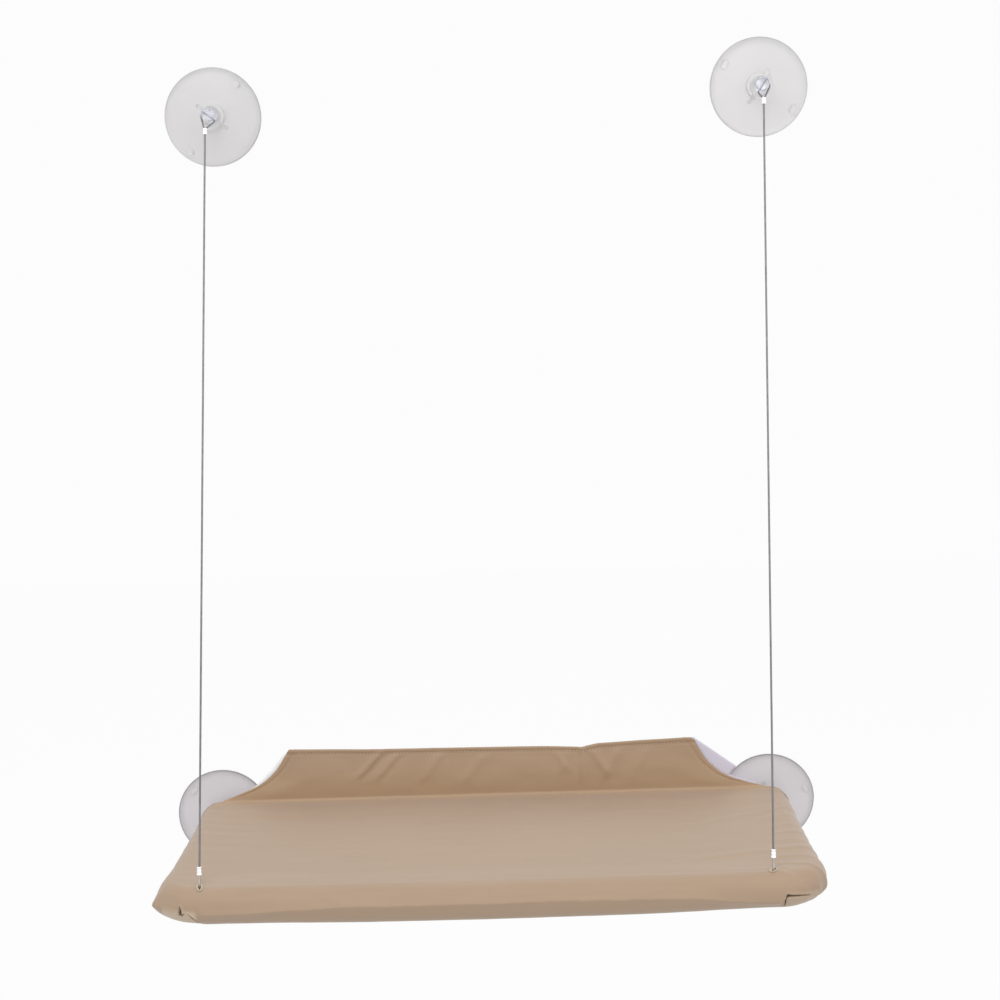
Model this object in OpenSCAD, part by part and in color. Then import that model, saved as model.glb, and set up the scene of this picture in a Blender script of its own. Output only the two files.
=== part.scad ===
// Window mounted cat perch: a cloth covered tube seat, hinged on two suction
// cups at its rear and hung by two wire cables from two more cups above it.
// The glass is the plane y = 0, the room lies towards -Y and up is +Z.

/* [Suction cups] */
// Outer diameter of a cup
cup_d = 90; // [70:1:110]
// Thickness of the cup at its edge
cup_edge_t = 1.3; // [0.8:0.1:2]
// Thickness of the cup beside its boss ring
cup_core_t = 4; // [2.5:0.1:5]
// Width of the flat ring that seals on the glass
seal_w = 7; // [4:0.5:12]
// Depth of the hollow behind the cup
hollow_h = 0.8; // [0.3:0.1:1.2]
// Outer diameter of the boss ring
boss_d = 24; // [22:0.5:28]
// Wall of the boss ring
boss_wall = 3; // [2:0.2:4]
// Height of the boss ring above the glass
boss_h = 9.5; // [7:0.5:11]
// Diameter of the post in the middle
post_d = 10; // [8:0.2:11]
// Height of the post above the glass
post_h = 24; // [23:0.5:30]
// Diameter of the post's head
head_d = 14; // [12:0.5:16]
// Thickness of the post's head
head_t = 2.4; // [1.5:0.1:3]
// Diameter of the hole across the post
cross_hole_d = 4; // [3.2:0.1:5]
// Width of the moulded channel along the cross hole
channel_w = 3.4; // [2:0.2:5]
// Length of the moulded channel
channel_l = 34; // [26:1:44]
// Depth of the channel into the disc
channel_h = 0.8; // [0.4:0.1:1.5]
// Length of a pull tab
tab_l = 9; // [6:0.5:14]
// Width of a pull tab
tab_w = 4.6; // [3:0.2:7]
// Height of a pull tab above the disc
tab_h = 2; // [1:0.2:4]
// Distance of a tab's middle from the cup's edge
tab_in = 7.4; // [5:0.2:10]

/* [Cup places] */
// Distance of the upper left cup from the middle
up_left_x = 239; // [200:1:290]
// Height of the upper left cup over the lower ones
up_left_z = 673; // [450:1:900]
// Distance of the upper right cup from the middle
up_right_x = 267; // [200:1:290]
// Height of the upper right cup over the lower ones
up_right_z = 682; // [450:1:900]

/* [Pivot] */
// From a side tube's middle in to its lower cup's middle
low_cup_in = 1; // [0:0.5:3]
// Distance of the seat's pivot from the glass
pivot_y = 17; // [16.5:0.1:18]
// Wall of the collar on the post
collar_wall = 3.9; // [3:0.1:4]
// Length of the collar along the post
collar_l = 8.6; // [7:0.2:9]
// Diameter of the collar's two side pins
side_pin_d = 6; // [4:0.2:7]
// Thickness of an ear of the rear corner piece
ear_t = 3.5; // [2.5:0.1:3.6]
// Wall of the ear round the side pin
ear_wall = 3.4; // [2.5:0.1:4]

/* [Seat frame] */
// Outer diameter of the frame tubes
rail_d = 27; // [25:0.5:28]
// Wall of the frame tubes
rail_wall = 1.8; // [1:0.1:2.5]
// Wall of the corner pieces
corner_wall = 2.2; // [1.5:0.1:3]
// Distance of the side tubes from the middle
side_x = 270; // [240:0.5:300]
// Distance of the front tube from the glass
front_y = 229; // [190:1:320]
// Distance of the rear tube from the glass
rear_y = 43; // [42:0.5:48]
// Height of the tubes over the lower cups' middle
rail_z = 2; // [1:0.5:3]
// Bend radius of the front corners
bend_r = 27; // [15:0.5:34]
// Straight arm of a front corner along the front tube
front_arm = 31; // [30:1:40]
// Straight arm of a front corner along the side tube
side_arm = 10; // [6:1:20]
// Straight arm of a rear corner along the rear tube
rear_arm = 25; // [22:1:40]
// Length of a corner's spigot inside a tube
spigot_l = 20; // [12:1:30]
// Diameter of the frame screws
screw_d = 3.2; // [2.5:0.1:4]
// Diameter of a screw's head
screw_head_d = 6.4; // [5:0.2:8]
// Height of a screw's head
screw_head_h = 1.8; // [1:0.1:3]
// Length of a screw under its head
screw_l = 5; // [4:0.2:7]

/* [Cables] */
// Diameter of the cable
cable_d = 1.8; // [1.2:0.1:2.4]
// Diameter of the wire in the end loops
wire_d = 1.5; // [1:0.1:1.6]
// Diameter of a ferrule
ferrule_d = 3.8; // [3:0.1:5]
// Length of a lower ferrule
low_ferrule_l = 7; // [4:0.5:12]
// Length of an upper ferrule
up_ferrule_l = 6; // [4:0.5:12]
// Diameter of the rims at a ferrule's ends
rim_d = 4.6; // [3.8:0.1:6]
// Thickness of those rims
rim_t = 0.9; // [0.4:0.1:1.5]
// From the cross hole down to the upper ferrule
loop_drop = 13; // [12:0.5:20]
// From the left anchor pin up to its ferrule
left_loop_l = 24; // [22:0.5:45]
// From the right anchor pin up to its ferrule
right_loop_l = 25; // [22:0.5:45]
// How far the left loop hangs off its post, outwards
left_hang = 4; // [0:0.5:5]
// How far the right loop hangs off its post, outwards
right_hang = 2; // [0:0.5:5]
// Diameter of an anchor pin
anchor_pin_d = 3; // [2:0.1:4]
// Diameter of the hole that lets a loop into the frame
loop_hole_d = 8; // [7:0.2:10]
// Diameter of the buttonholes in the cover
buttonhole_d = 6.4; // [6:0.2:9]
// From the side tube in to the left cable
left_cable_in = 24.5; // [20:0.5:40]
// From the side tube in to the right cable
right_cable_in = 33.5; // [20:0.5:40]

/* [Cover] */
// Thickness of the cloth
cloth_t = 1.2; // [0.6:0.1:2]
// Slack between the cloth and the tubes
cloth_gap = 0.3; // [0.1:0.1:0.8]
// Distance of the rear crease from the glass
crease_y = 16; // [16:0.2:20]
// Half length of the rear crease
crease_half = 256; // [230:1:256]
// From the glass to the rear ends of the side wraps
wrap_end_y = 30; // [29:0.5:34]
// How far the cover is tucked under the front
front_tuck = 60; // [30:1:80]
// How far the cover is tucked under each side
side_tuck = 50; // [25:1:70]
// From a rear screw's head in to the end of the sleeve round the rear tube
sleeve_gap = 2; // [1:0.5:30]
// Length of a hook and loop patch
patch_l = 40; // [20:1:60]
// Width of a hook and loop patch
patch_w = 25; // [15:1:40]
// Thickness of a hook and loop patch
patch_t = 1.6; // [1:0.1:3]

/* [Back flap] */
// Nominal height of the flap over the seat
flap_h = 50; // [30:1:90]
// Half width of the flap's top edge on the left
flap_left = 198; // [150:1:230]
// Half width of the flap's top edge on the right
flap_right = 190; // [150:1:230]
// Height of the puckers in the flap's cloth
pucker_h = 2.2; // [0:0.1:4]
// Half width of a pucker
pucker_w = 14; // [8:1:30]
// Gap between the flap and the seat at the crease
crease_gap = 0.8; // [0.7:0.1:1.5]
// Thickness of the white backing sheet
backing_t = 1; // [0.6:0.1:1]
// Gap between the flap's cloth and its backing
backing_gap = 0.2; // [0.1:0.1:0.3]
// Half width of the backing's top edge
backing_top = 196; // [140:1:225]
// Half width of the backing low down on the left
backing_left = 240; // [150:1:250]
// Half width of the backing low down on the right
backing_right = 252; // [150:1:252]
// Height where the backing's slanted sides end
backing_foot = 8; // [4:1:14]
// From the flap's top edge down to the backing's
backing_drop = 0.8; // [0:0.1:5]

/* [Hidden] */

// Smoothness of round shapes
round_fn = 72;
// Overrun of every cut
cut = 1;
// Running clearance of the pivot, on the radius
run_gap = 0.06;
// Clearance of a spigot in its tube and of a collar on its post, on the radius
fit_gap = 0.1;
// Side play between a collar and an ear
side_play = 0.2;
// Clearance round a wire in its hole or on its pin
wire_gap = 0.1;
// Turn of each cup on the glass: upper left, upper right, lower left, lower right
up_turns = [-38, 56];
low_turns = [48, -75];
// Rings and sides of a cable
cable_rings = 40;
cable_sides = 8;
// Sides of a loop's wire and steps in each of its bends
wire_sides = 8;
bend_steps = 5;
// Rows and columns of the flap's cloth
flap_rows = 8;
flap_cols = 44;
// Share of the flare that is left at each share of the flap's height
flare_shares = [[0, 1], [0.042, 0.99], [0.146, 0.8], [0.27, 0.58], [0.392, 0.39],
  [0.594, 0.2], [0.85, 0.07], [1, 0]];
// Height share of the flap's top edge along its length
edge_shares = [[0, 1.04], [0.2, 0.995], [0.48, 0.975], [0.64, 0.955], [0.73, 0.92],
  [0.77, 0.985], [0.9, 1.025], [1, 1.05]];
// Places of the puckers along the flap, and their slant
pucker_shares = [[0.21, 0.1], [0.3, 0.16], [0.745, -0.02]];

cup_r = cup_d / 2;
boss_r = boss_d / 2;
post_r = post_d / 2;
rail_r = rail_d / 2;
bore_r = rail_r - rail_wall;
spigot_r = bore_r - fit_gap;
hole_r = spigot_r - corner_wall;
wrap_in = rail_r + cloth_gap;
wrap_out = wrap_in + cloth_t;
top_z = rail_z + wrap_out;
side_pin_r = side_pin_d / 2;
collar_r = post_r + fit_gap + collar_wall;
ear_in = collar_r + side_play;
ear_out = ear_in + ear_t;
ear_r = side_pin_r + run_gap + ear_wall;
rear_side_arm = rail_r + fit_gap;
wire_r = wire_d / 2;
low_loop_r = anchor_pin_d / 2 + wire_r + wire_gap;
low_cup_x = side_x - low_cup_in;
up_x = [-up_left_x, up_right_x];
up_z = [up_left_z, up_right_z];
hang_x = [-left_hang, right_hang];
loop_l = [left_loop_l, right_loop_l];
anchor_x = [-(side_x - left_cable_in), side_x - right_cable_in];
side_sign = [-1, 1];

// Lower and upper end of each cable's straight line
function foot(s) = [anchor_x[s], -front_y, rail_z];
function post_at(s) = [up_x[s], -pivot_y, up_z[s]];
function hook(s) = post_at(s) + [hang_x[s], 0, 0];
function line_l(s) = norm(hook(s) - foot(s));
function line_u(s) = (hook(s) - foot(s)) / line_l(s);

// Places its children with Z along a vector, standing on a point
module aim(p, v) {
  translate(p)
    rotate([0, acos(v[2] / norm(v)), atan2(v[1], v[0])])
      children();
}

// Mirrors its children to the right hand side when side is 1
module on_side(side) {
  if (side == 1)
    mirror([1, 0, 0])
      children();
  else
    children();
}

// Unit vector, and the way a path runs at one of its points
function unit(v) = v / norm(v);
function path_way(p, i) = i == 0 ? unit(p[1] - p[0])
  : i == len(p) - 1 ? unit(p[i] - p[i - 1])
  : unit(unit(p[i] - p[i - 1]) + unit(p[i + 1] - p[i]));

// Path with each inner corner rounded off, starting a set length before it
function round_path(p, back) = [p[0],
  for (i = [1:len(p) - 2], k = [0:bend_steps])
    let (t = k / bend_steps,
      a = p[i] + min(back, norm(p[i - 1] - p[i]) / 2) * unit(p[i - 1] - p[i]),
      b = p[i] + min(back, norm(p[i + 1] - p[i]) / 2) * unit(p[i + 1] - p[i]))
    (1 - t) * (1 - t) * a + 2 * t * (1 - t) * p[i] + t * t * b,
  p[len(p) - 1]];

// Round tube swept along a path that lies near one plane, given its normal
module sweep(p, r, normal, sides) {
  n = len(p);
  turn = 360 / sides;
  points = [for (i = [0:n - 1])
    let (t = path_way(p, i), a = unit(normal - (normal * t) * t), b = cross(t, a))
    for (k = [0:sides - 1]) p[i] + r * (cos(k * turn) * a + sin(k * turn) * b)];
  walls = [for (i = [0:n - 2], k = [0:sides - 1], h = [0, 1])
    let (c = i * sides + k, d = i * sides + (k + 1) % sides)
    h == 0 ? [c, c + sides, d + sides] : [c, d + sides, d]];
  first_end = [for (k = [0:sides - 1]) k];
  last_end = [for (k = [sides - 1:-1:0]) (n - 1) * sides + k];
  polyhedron(points = points, faces = concat(walls, [first_end], [last_end]));
}

// Half outline of a cup, from its axis outwards
function cup_points() = [
  [0, hollow_h], [cup_r - seal_w, 0], [cup_r, 0], [cup_r, cup_edge_t],
  [boss_r, cup_core_t], [boss_r, boss_h], [boss_r - boss_wall, boss_h],
  [boss_r - boss_wall, cup_core_t], [post_r, cup_core_t],
  [post_r, post_h - head_t], [head_d / 2, post_h - head_t],
  [head_d / 2, post_h], [0, post_h]];

// Rounded bar that stands on the disc near its edge
module pull_tab() {
  tab_r = tab_w / 2;
  disc_h = cup_edge_t + (cup_core_t - cup_edge_t) * tab_in / (cup_r - boss_r);
  translate([0, cup_r - tab_in, cup_edge_t])
    linear_extrude(height = disc_h + tab_h - cup_edge_t) {
      square([tab_l - tab_w, tab_w], center = true);
      translate([(tab_l - tab_w) / 2, 0])
        circle(r = tab_r, $fn = 32);
      translate([-(tab_l - tab_w) / 2, 0])
        circle(r = tab_r, $fn = 32);
    }
}

// Clear suction cup with a boss ring, a headed post and two pull tabs
module suction_cup(x, z, turn) {
  color([0.86, 0.85, 0.85, 0.75])
    translate([x, 0, z])
      rotate([90, 0, 0])
        rotate([0, 0, turn])
          difference() {
            union() {
              rotate_extrude($fn = round_fn)
                polygon(cup_points());
              pull_tab();
              rotate([0, 0, 180])
                pull_tab();
            }
            translate([-boss_r - cut, 0, pivot_y])
              rotate([0, 90, 0])
                cylinder(h = boss_d + 2 * cut, d = cross_hole_d, $fn = 48);
            channel_half(1);
            channel_half(-1);
          }
}

// One half of the moulded channel, from the post outwards
module channel_half(way) {
  long = channel_l / 2 - post_r - cut;
  translate([way * (post_r + cut + long / 2), 0, cup_core_t - channel_h + boss_h / 2])
    cube([long, channel_w, boss_h], center = true);
}

module cup_upper_left() {
  suction_cup(up_x[0], up_z[0], up_turns[0]);
}

module cup_upper_right() {
  suction_cup(up_x[1], up_z[1], up_turns[1]);
}

module cup_lower_left() {
  suction_cup(-low_cup_x, 0, low_turns[0]);
}

module cup_lower_right() {
  suction_cup(low_cup_x, 0, low_turns[1]);
}

// Collar that clips on a lower cup's post and carries two side pins
module collar(x) {
  color([0.82, 0.82, 0.84])
    translate([x, 0, 0])
      difference() {
        union() {
          translate([0, collar_l / 2 - pivot_y, 0])
            rotate([90, 0, 0])
              cylinder(h = collar_l, r = collar_r, $fn = round_fn);
          translate([-ear_out, -pivot_y, 0])
            rotate([0, 90, 0])
              cylinder(h = 2 * ear_out, r = side_pin_r, $fn = 48);
        }
        translate([0, collar_l / 2 + cut - pivot_y, 0])
          rotate([90, 0, 0])
            cylinder(h = collar_l + 2 * cut, r = post_r + fit_gap, $fn = round_fn);
      }
}

module collar_left() {
  collar(-low_cup_x);
}

module collar_right() {
  collar(low_cup_x);
}

// Wire loop through the post's cross hole, down to the upper ferrule
module loop_upper(s) {
  turn = up_turns[s];
  along = [cos(turn), 0, sin(turn)];
  down = [sin(turn), 0, -cos(turn)];
  way = sign(turn);
  sag = cross_hole_d / 2 - wire_r - wire_gap;
  reach = post_r + wire_d + wire_r;
  middle = post_at(s) + sag * down;
  low_end = middle - way * reach * along;
  high_end = middle + way * reach * along;
  beside = post_at(s) + (reach + wire_r) * [way * cos(10), 0, -sin(10)];
  apex = hook(s) - loop_drop * line_u(s);
  spread = (wire_r + wire_gap / 2) * [way, 0, 0];
  grip = apex - up_ferrule_l / 3 * line_u(s);
  color([0.6, 0.6, 0.62])
    sweep(round_path([grip - spread, apex - spread, low_end, high_end, beside,
      apex + spread, grip + spread], wire_d), wire_r, [0, 1, 0], wire_sides);
}

module loop_upper_left() {
  loop_upper(0);
}

module loop_upper_right() {
  loop_upper(1);
}

// Crimped sleeve with a rim at each end, at a distance up the cable's line
module ferrule(s, from, long) {
  color([0.88, 0.88, 0.9])
    aim(foot(s), line_u(s))
      translate([0, 0, from]) {
        cylinder(h = long, d = ferrule_d, $fn = 32);
        cylinder(h = rim_t, d = rim_d, $fn = 32);
        translate([0, 0, long - rim_t])
          cylinder(h = rim_t, d = rim_d, $fn = 32);
      }
}

module ferrule_upper_left() {
  ferrule(0, line_l(0) - loop_drop - up_ferrule_l, up_ferrule_l);
}

module ferrule_upper_right() {
  ferrule(1, line_l(1) - loop_drop - up_ferrule_l, up_ferrule_l);
}

module ferrule_lower_left() {
  ferrule(0, left_loop_l, low_ferrule_l);
}

module ferrule_lower_right() {
  ferrule(1, right_loop_l, low_ferrule_l);
}

// Taut cable between its two ferrules, swept as one tube
module cable(s) {
  low = loop_l[s] + low_ferrule_l;
  high = line_l(s) - loop_drop - up_ferrule_l;
  step = (high - low) / (cable_rings - 1);
  color([0.66, 0.66, 0.67])
    aim(foot(s), line_u(s))
      sweep([for (i = [0:cable_rings - 1]) [0, 0, low + i * step]], cable_d / 2,
        [1, 0, 0], cable_sides);
}

module cable_left() {
  cable(0);
}

module cable_right() {
  cable(1);
}

// Narrow wire loop round the anchor pin, up to the lower ferrule
module loop_lower(s) {
  top = loop_l[s] + low_ferrule_l / 3;
  side = wire_r + wire_gap / 2;
  steps = 12;
  round_end = [for (i = [0:steps])
    [0, -low_loop_r * cos(180 * i / steps), -low_loop_r * sin(180 * i / steps)]];
  color([0.6, 0.6, 0.62])
    aim(foot(s), line_u(s))
      sweep(concat([[0, -side, top], [0, -side, loop_l[s]]], round_end,
        [[0, side, loop_l[s]], [0, side, top]]), wire_r, [1, 0, 0], wire_sides);
}

module loop_lower_left() {
  loop_lower(0);
}

module loop_lower_right() {
  loop_lower(1);
}

// Pin across the front corner piece that the wire loop hooks round
module anchor_pin(s) {
  color([0.7, 0.7, 0.72])
    aim(foot(s), line_u(s))
      rotate([0, 90, 0])
        cylinder(h = rail_d - 2 * wire_gap, d = anchor_pin_d, center = true, $fn = 32);
}

module anchor_pin_left() {
  anchor_pin(0);
}

module anchor_pin_right() {
  anchor_pin(1);
}

// Tube between two points
module tube(p, q) {
  color([0.9, 0.9, 0.9])
    difference() {
      aim(p, q - p)
        cylinder(h = norm(q - p), r = rail_r, $fn = round_fn);
      aim(p, q - p)
        translate([0, 0, -cut])
          cylinder(h = norm(q - p) + 2 * cut, r = bore_r, $fn = round_fn);
    }
}

// Places of the frame screws and the way each one points
screw_in = spigot_l / 2;
front_screw_y = -(front_y - bend_r - side_arm - screw_in);
rear_screw_y = -(rear_y + rear_side_arm + screw_in);
rear_screw_x = side_x - rear_arm - screw_in;
sleeve_half = rear_screw_x - screw_head_d / 2 - sleeve_gap;
screws = [
  [[-side_x + rail_r, front_screw_y, rail_z], [-1, 0, 0]],
  [[side_x - rail_r, front_screw_y, rail_z], [1, 0, 0]],
  [[-side_x + rail_r, rear_screw_y, rail_z], [-1, 0, 0]],
  [[side_x - rail_r, rear_screw_y, rail_z], [1, 0, 0]],
  [[-rear_screw_x, -rear_y - rail_r, rail_z], [0, 1, 0]],
  [[rear_screw_x, -rear_y - rail_r, rail_z], [0, 1, 0]]];

// Holes for the screws, a little wider than their shanks
module screw_holes() {
  for (item = screws)
    aim(item[0] - cut * item[1], item[1])
      cylinder(h = screw_l + 2 * cut, d = screw_d + 2 * wire_gap, $fn = 32);
}

module frame_screws() {
  color([0.75, 0.75, 0.77])
    for (item = screws) {
      aim(item[0], item[1])
        cylinder(h = screw_l, d = screw_d, $fn = 32);
      aim(item[0] - screw_head_h * item[1], item[1])
        cylinder(h = screw_head_h, d = screw_head_d, $fn = 32);
    }
}

module front_rail() {
  reach = side_x - bend_r - front_arm;
  tube([-reach, -front_y, rail_z], [reach, -front_y, rail_z]);
}

module rear_rail() {
  reach = side_x - rear_arm;
  difference() {
    tube([-reach, -rear_y, rail_z], [reach, -rear_y, rail_z]);
    screw_holes();
  }
}

module side_rail(x) {
  difference() {
    tube([x, -(front_y - bend_r - side_arm), rail_z], [x, -(rear_y + rear_side_arm), rail_z]);
    screw_holes();
  }
}

module side_rail_left() {
  side_rail(-side_x);
}

module side_rail_right() {
  side_rail(side_x);
}

// Flat ring between two radii
module ring(outer, inner) {
  difference() {
    circle(r = outer, $fn = round_fn);
    circle(r = inner, $fn = round_fn);
  }
}

// Hollow arm with its spigot, along +Z
module arm(long) {
  linear_extrude(height = long)
    ring(rail_r, hole_r);
  translate([0, 0, long])
    linear_extrude(height = spigot_l)
      ring(spigot_r, hole_r);
}

// Hollow front corner with two arms, two spigots and the anchor's holes
module corner_front(s) {
  color([0.78, 0.78, 0.8])
    difference() {
      on_side(s)
        translate([-(side_x - bend_r), -(front_y - bend_r), rail_z]) {
          rotate([0, 0, 180])
            rotate_extrude(angle = 90, $fn = round_fn)
              translate([bend_r, 0])
                ring(rail_r, hole_r);
          translate([-bend_r, 0, 0])
            rotate([-90, 0, 0])
              arm(side_arm);
          translate([0, -bend_r, 0])
            rotate([0, 90, 0])
              arm(front_arm);
        }
      aim(foot(s), line_u(s))
        cylinder(h = rail_d, d = loop_hole_d, $fn = 48);
      aim(foot(s), line_u(s))
        rotate([0, 90, 0])
          cylinder(h = 2 * rail_d, d = anchor_pin_d + 2 * wire_gap, center = true, $fn = 32);
      screw_holes();
    }
}

module corner_front_left() {
  corner_front(0);
}

module corner_front_right() {
  corner_front(1);
}

// Side view of an ear: a round end on the pivot and an arm to the corner
module ear_shape() {
  difference() {
    union() {
      circle(r = ear_r, $fn = 48);
      polygon([[0, -ear_r * 0.7], [0, ear_r * 0.95],
        [rear_y - pivot_y, ear_r * 0.9], [rear_y - pivot_y, -ear_r * 0.7]]);
    }
    circle(r = side_pin_r + run_gap, $fn = 48);
  }
}

// Hollow rear corner with two arms, two spigots and two ears
module corner_rear(s) {
  color([0.78, 0.78, 0.8])
    on_side(s)
      difference() {
        union() {
          translate([-side_x, -rear_y, rail_z]) {
            sphere(r = rail_r, $fn = round_fn);
            rotate([90, 0, 0])
              cylinder(h = rear_side_arm, r = rail_r, $fn = round_fn);
            rotate([90, 0, 0])
              cylinder(h = rear_side_arm + spigot_l, r = spigot_r, $fn = round_fn);
            rotate([0, 90, 0])
              cylinder(h = rear_arm, r = rail_r, $fn = round_fn);
            rotate([0, 90, 0])
              cylinder(h = rear_arm + spigot_l, r = spigot_r, $fn = round_fn);
          }
          for (x = [-low_cup_x - ear_out, -low_cup_x + ear_in])
            translate([x, -pivot_y, 0])
              rotate([90, 0, -90])
                mirror([0, 0, 1])
                  linear_extrude(height = ear_t)
                    ear_shape();
        }
        translate([-side_x, -rear_y, rail_z]) {
          rotate([90, 0, 0])
            cylinder(h = rear_side_arm + spigot_l + cut, r = hole_r, $fn = round_fn);
          rotate([0, 90, 0])
            cylinder(h = rear_arm + spigot_l + cut, r = hole_r, $fn = round_fn);
          sphere(r = hole_r, $fn = round_fn);
        }
        screw_holes();
      }
}

module corner_rear_left() {
  corner_rear(0);
}

module corner_rear_right() {
  corner_rear(1);
}

// Section of the cover round a tube: up over the outside and tucked under,
// with the tube's middle at the origin and the outside towards +X
module wrap_section(over, tuck) {
  difference() {
    circle(r = wrap_out, $fn = round_fn);
    circle(r = wrap_in, $fn = round_fn);
    translate([-2 * wrap_out, -wrap_out - cut])
      square([2 * wrap_out, 2 * (wrap_out + cut)]);
  }
  translate([-over, wrap_in])
    square([over, cloth_t]);
  translate([-tuck, -wrap_out])
    square([tuck, cloth_t]);
}

// Section of the sleeve that hangs from the top cloth round the rear tube
module sleeve_section() {
  wall = wrap_in + cloth_t / 2;
  difference() {
    ring(wrap_out, wrap_in);
    translate([-wrap_out - cut, 0])
      square([2 * (wrap_out + cut), wrap_out + cut]);
  }
  translate([-wrap_out, 0])
    square([cloth_t, wall]);
  translate([wrap_in, 0])
    square([cloth_t, wall]);
}

// Flat plan of the seat's top cloth, with its rear corners cut off
module top_plan() {
  chamfer = wrap_end_y - crease_y;
  polygon([
    [-side_x, -(front_y - bend_r)], [-side_x, -wrap_end_y],
    [-min(crease_half, side_x - chamfer), -crease_y],
    [min(crease_half, side_x - chamfer), -crease_y],
    [side_x, -wrap_end_y], [side_x, -(front_y - bend_r)],
    [side_x - bend_r, -(front_y - bend_r)], [side_x - bend_r, -front_y],
    [-(side_x - bend_r), -front_y], [-(side_x - bend_r), -(front_y - bend_r)]]);
}

// Cloth cover: flat top, rolled front and sides, rounded front corners,
// tucked under all round and sewn in a sleeve round the rear tube
module seat_cover() {
  middle_x = side_x - bend_r;
  middle_y = front_y - bend_r;
  color([0.72, 0.62, 0.5])
    difference() {
      union() {
        translate([0, 0, top_z - cloth_t])
          linear_extrude(height = cloth_t)
            top_plan();
        translate([-middle_x, -front_y, rail_z])
          rotate([90, 0, 90])
            linear_extrude(height = 2 * middle_x)
              mirror([1, 0])
                wrap_section(cloth_t, front_tuck);
        for (s = [0, 1])
          on_side(s) {
            translate([-side_x, -wrap_end_y, rail_z])
              rotate([90, 0, 0])
                linear_extrude(height = middle_y - wrap_end_y)
                  mirror([1, 0])
                    wrap_section(cloth_t, cloth_t);
            translate([-side_x, -(rear_y + side_arm), rail_z - wrap_out])
              mirror([0, 1, 0])
                cube([side_tuck, middle_y - rear_y - side_arm, cloth_t]);
            translate([-middle_x, -middle_y, rail_z])
              rotate([0, 0, 180])
                rotate_extrude(angle = 90, $fn = round_fn)
                  translate([bend_r, 0])
                    wrap_section(bend_r, bend_r);
          }
        translate([-sleeve_half, -rear_y, rail_z])
          rotate([90, 0, 90])
            linear_extrude(height = 2 * sleeve_half)
              sleeve_section();
      }
      for (s = [0, 1])
        translate(foot(s) + (wrap_in + cloth_t / 2) / line_u(s)[2] * line_u(s))
          cylinder(h = 4 * cloth_t, d = buttonhole_d, center = true, $fn = 48);
    }
}

// Hook and loop patches under the tucked cloth, two at each front corner
module grip_patches() {
  inner_x = side_x - side_tuck - patch_w / 2;
  color([0.2, 0.19, 0.18])
    for (x = [-inner_x, inner_x], y = [-(front_y - front_tuck / 4), -(front_y - 3 * front_tuck / 4)])
      translate([x, y, rail_z - wrap_out - patch_t / 2])
        cube([patch_l, patch_w / 2, patch_t], center = true);
}

// Left and right edge of the flap at a share of its height
function edge_left(h) = -(flap_left + (crease_half - flap_left) * lookup(h, flare_shares));
function edge_right(h) = flap_right + (crease_half - flap_right) * lookup(h, flare_shares);
function flap_x(u, h) = edge_left(h) + u * (edge_right(h) - edge_left(h));
function flap_top(u) = flap_h * lookup(u, edge_shares);
// Height of the cloth's puckers, which fade out towards the crease
function bump(x, place, h) = exp(-pow((x - place[0] * (flap_left + flap_right) + flap_left
  - (1 - h) * place[1] * flap_h * 4) / pucker_w, 2));
function pucker(x, h) = pucker_h * h * h * (bump(x, pucker_shares[0], h)
  + bump(x, pucker_shares[1], h) / 2 + bump(x, pucker_shares[2], h));

// Upright cloth flap with its curved sides and puckers
module back_flap() {
  front_y0 = -(crease_y + cloth_t / 2);
  back_y0 = front_y0 + cloth_t;
  n = flap_cols + 1;
  m = flap_rows + 1;
  base_z = top_z + crease_gap;
  cells = [for (j = [0:flap_rows], i = [0:flap_cols]) [i / flap_cols, j / flap_rows]];
  front = [for (c = cells) let (x = flap_x(c[0], c[1]))
    [x, front_y0 - pucker(x, c[1]), base_z + c[1] * (flap_top(c[0]) - crease_gap)]];
  back = [for (c = cells)
    [flap_x(c[0], c[1]), back_y0, base_z + c[1] * (flap_top(c[0]) - crease_gap)]];
  k = n * m;
  front_faces = [for (j = [0:flap_rows - 1], i = [0:flap_cols - 1], t = [0, 1])
    let (a = j * n + i)
    t == 0 ? [a, a + n + 1, a + 1] : [a, a + n, a + n + 1]];
  back_faces = [for (j = [0:flap_rows - 1], i = [0:flap_cols - 1], t = [0, 1])
    let (a = k + j * n + i)
    t == 0 ? [a, a + 1, a + n + 1] : [a, a + n + 1, a + n]];
  low_faces = [for (i = [0:flap_cols - 1], t = [0, 1])
    t == 0 ? [i, i + 1, k + i + 1] : [i, k + i + 1, k + i]];
  high_faces = [for (i = [0:flap_cols - 1], t = [0, 1])
    let (a = flap_rows * n + i)
    t == 0 ? [a, k + a + 1, a + 1] : [a, k + a, k + a + 1]];
  left_faces = [for (j = [0:flap_rows - 1], t = [0, 1])
    let (a = j * n)
    t == 0 ? [a, k + a, k + a + n] : [a, k + a + n, a + n]];
  right_faces = [for (j = [0:flap_rows - 1], t = [0, 1])
    let (a = j * n + flap_cols)
    t == 0 ? [a, k + a + n, k + a] : [a, a + n, k + a + n]];
  color([0.66, 0.53, 0.4])
    polyhedron(points = concat(front, back), faces = concat(front_faces, back_faces,
      low_faces, high_faces, left_faces, right_faces));
}

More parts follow.
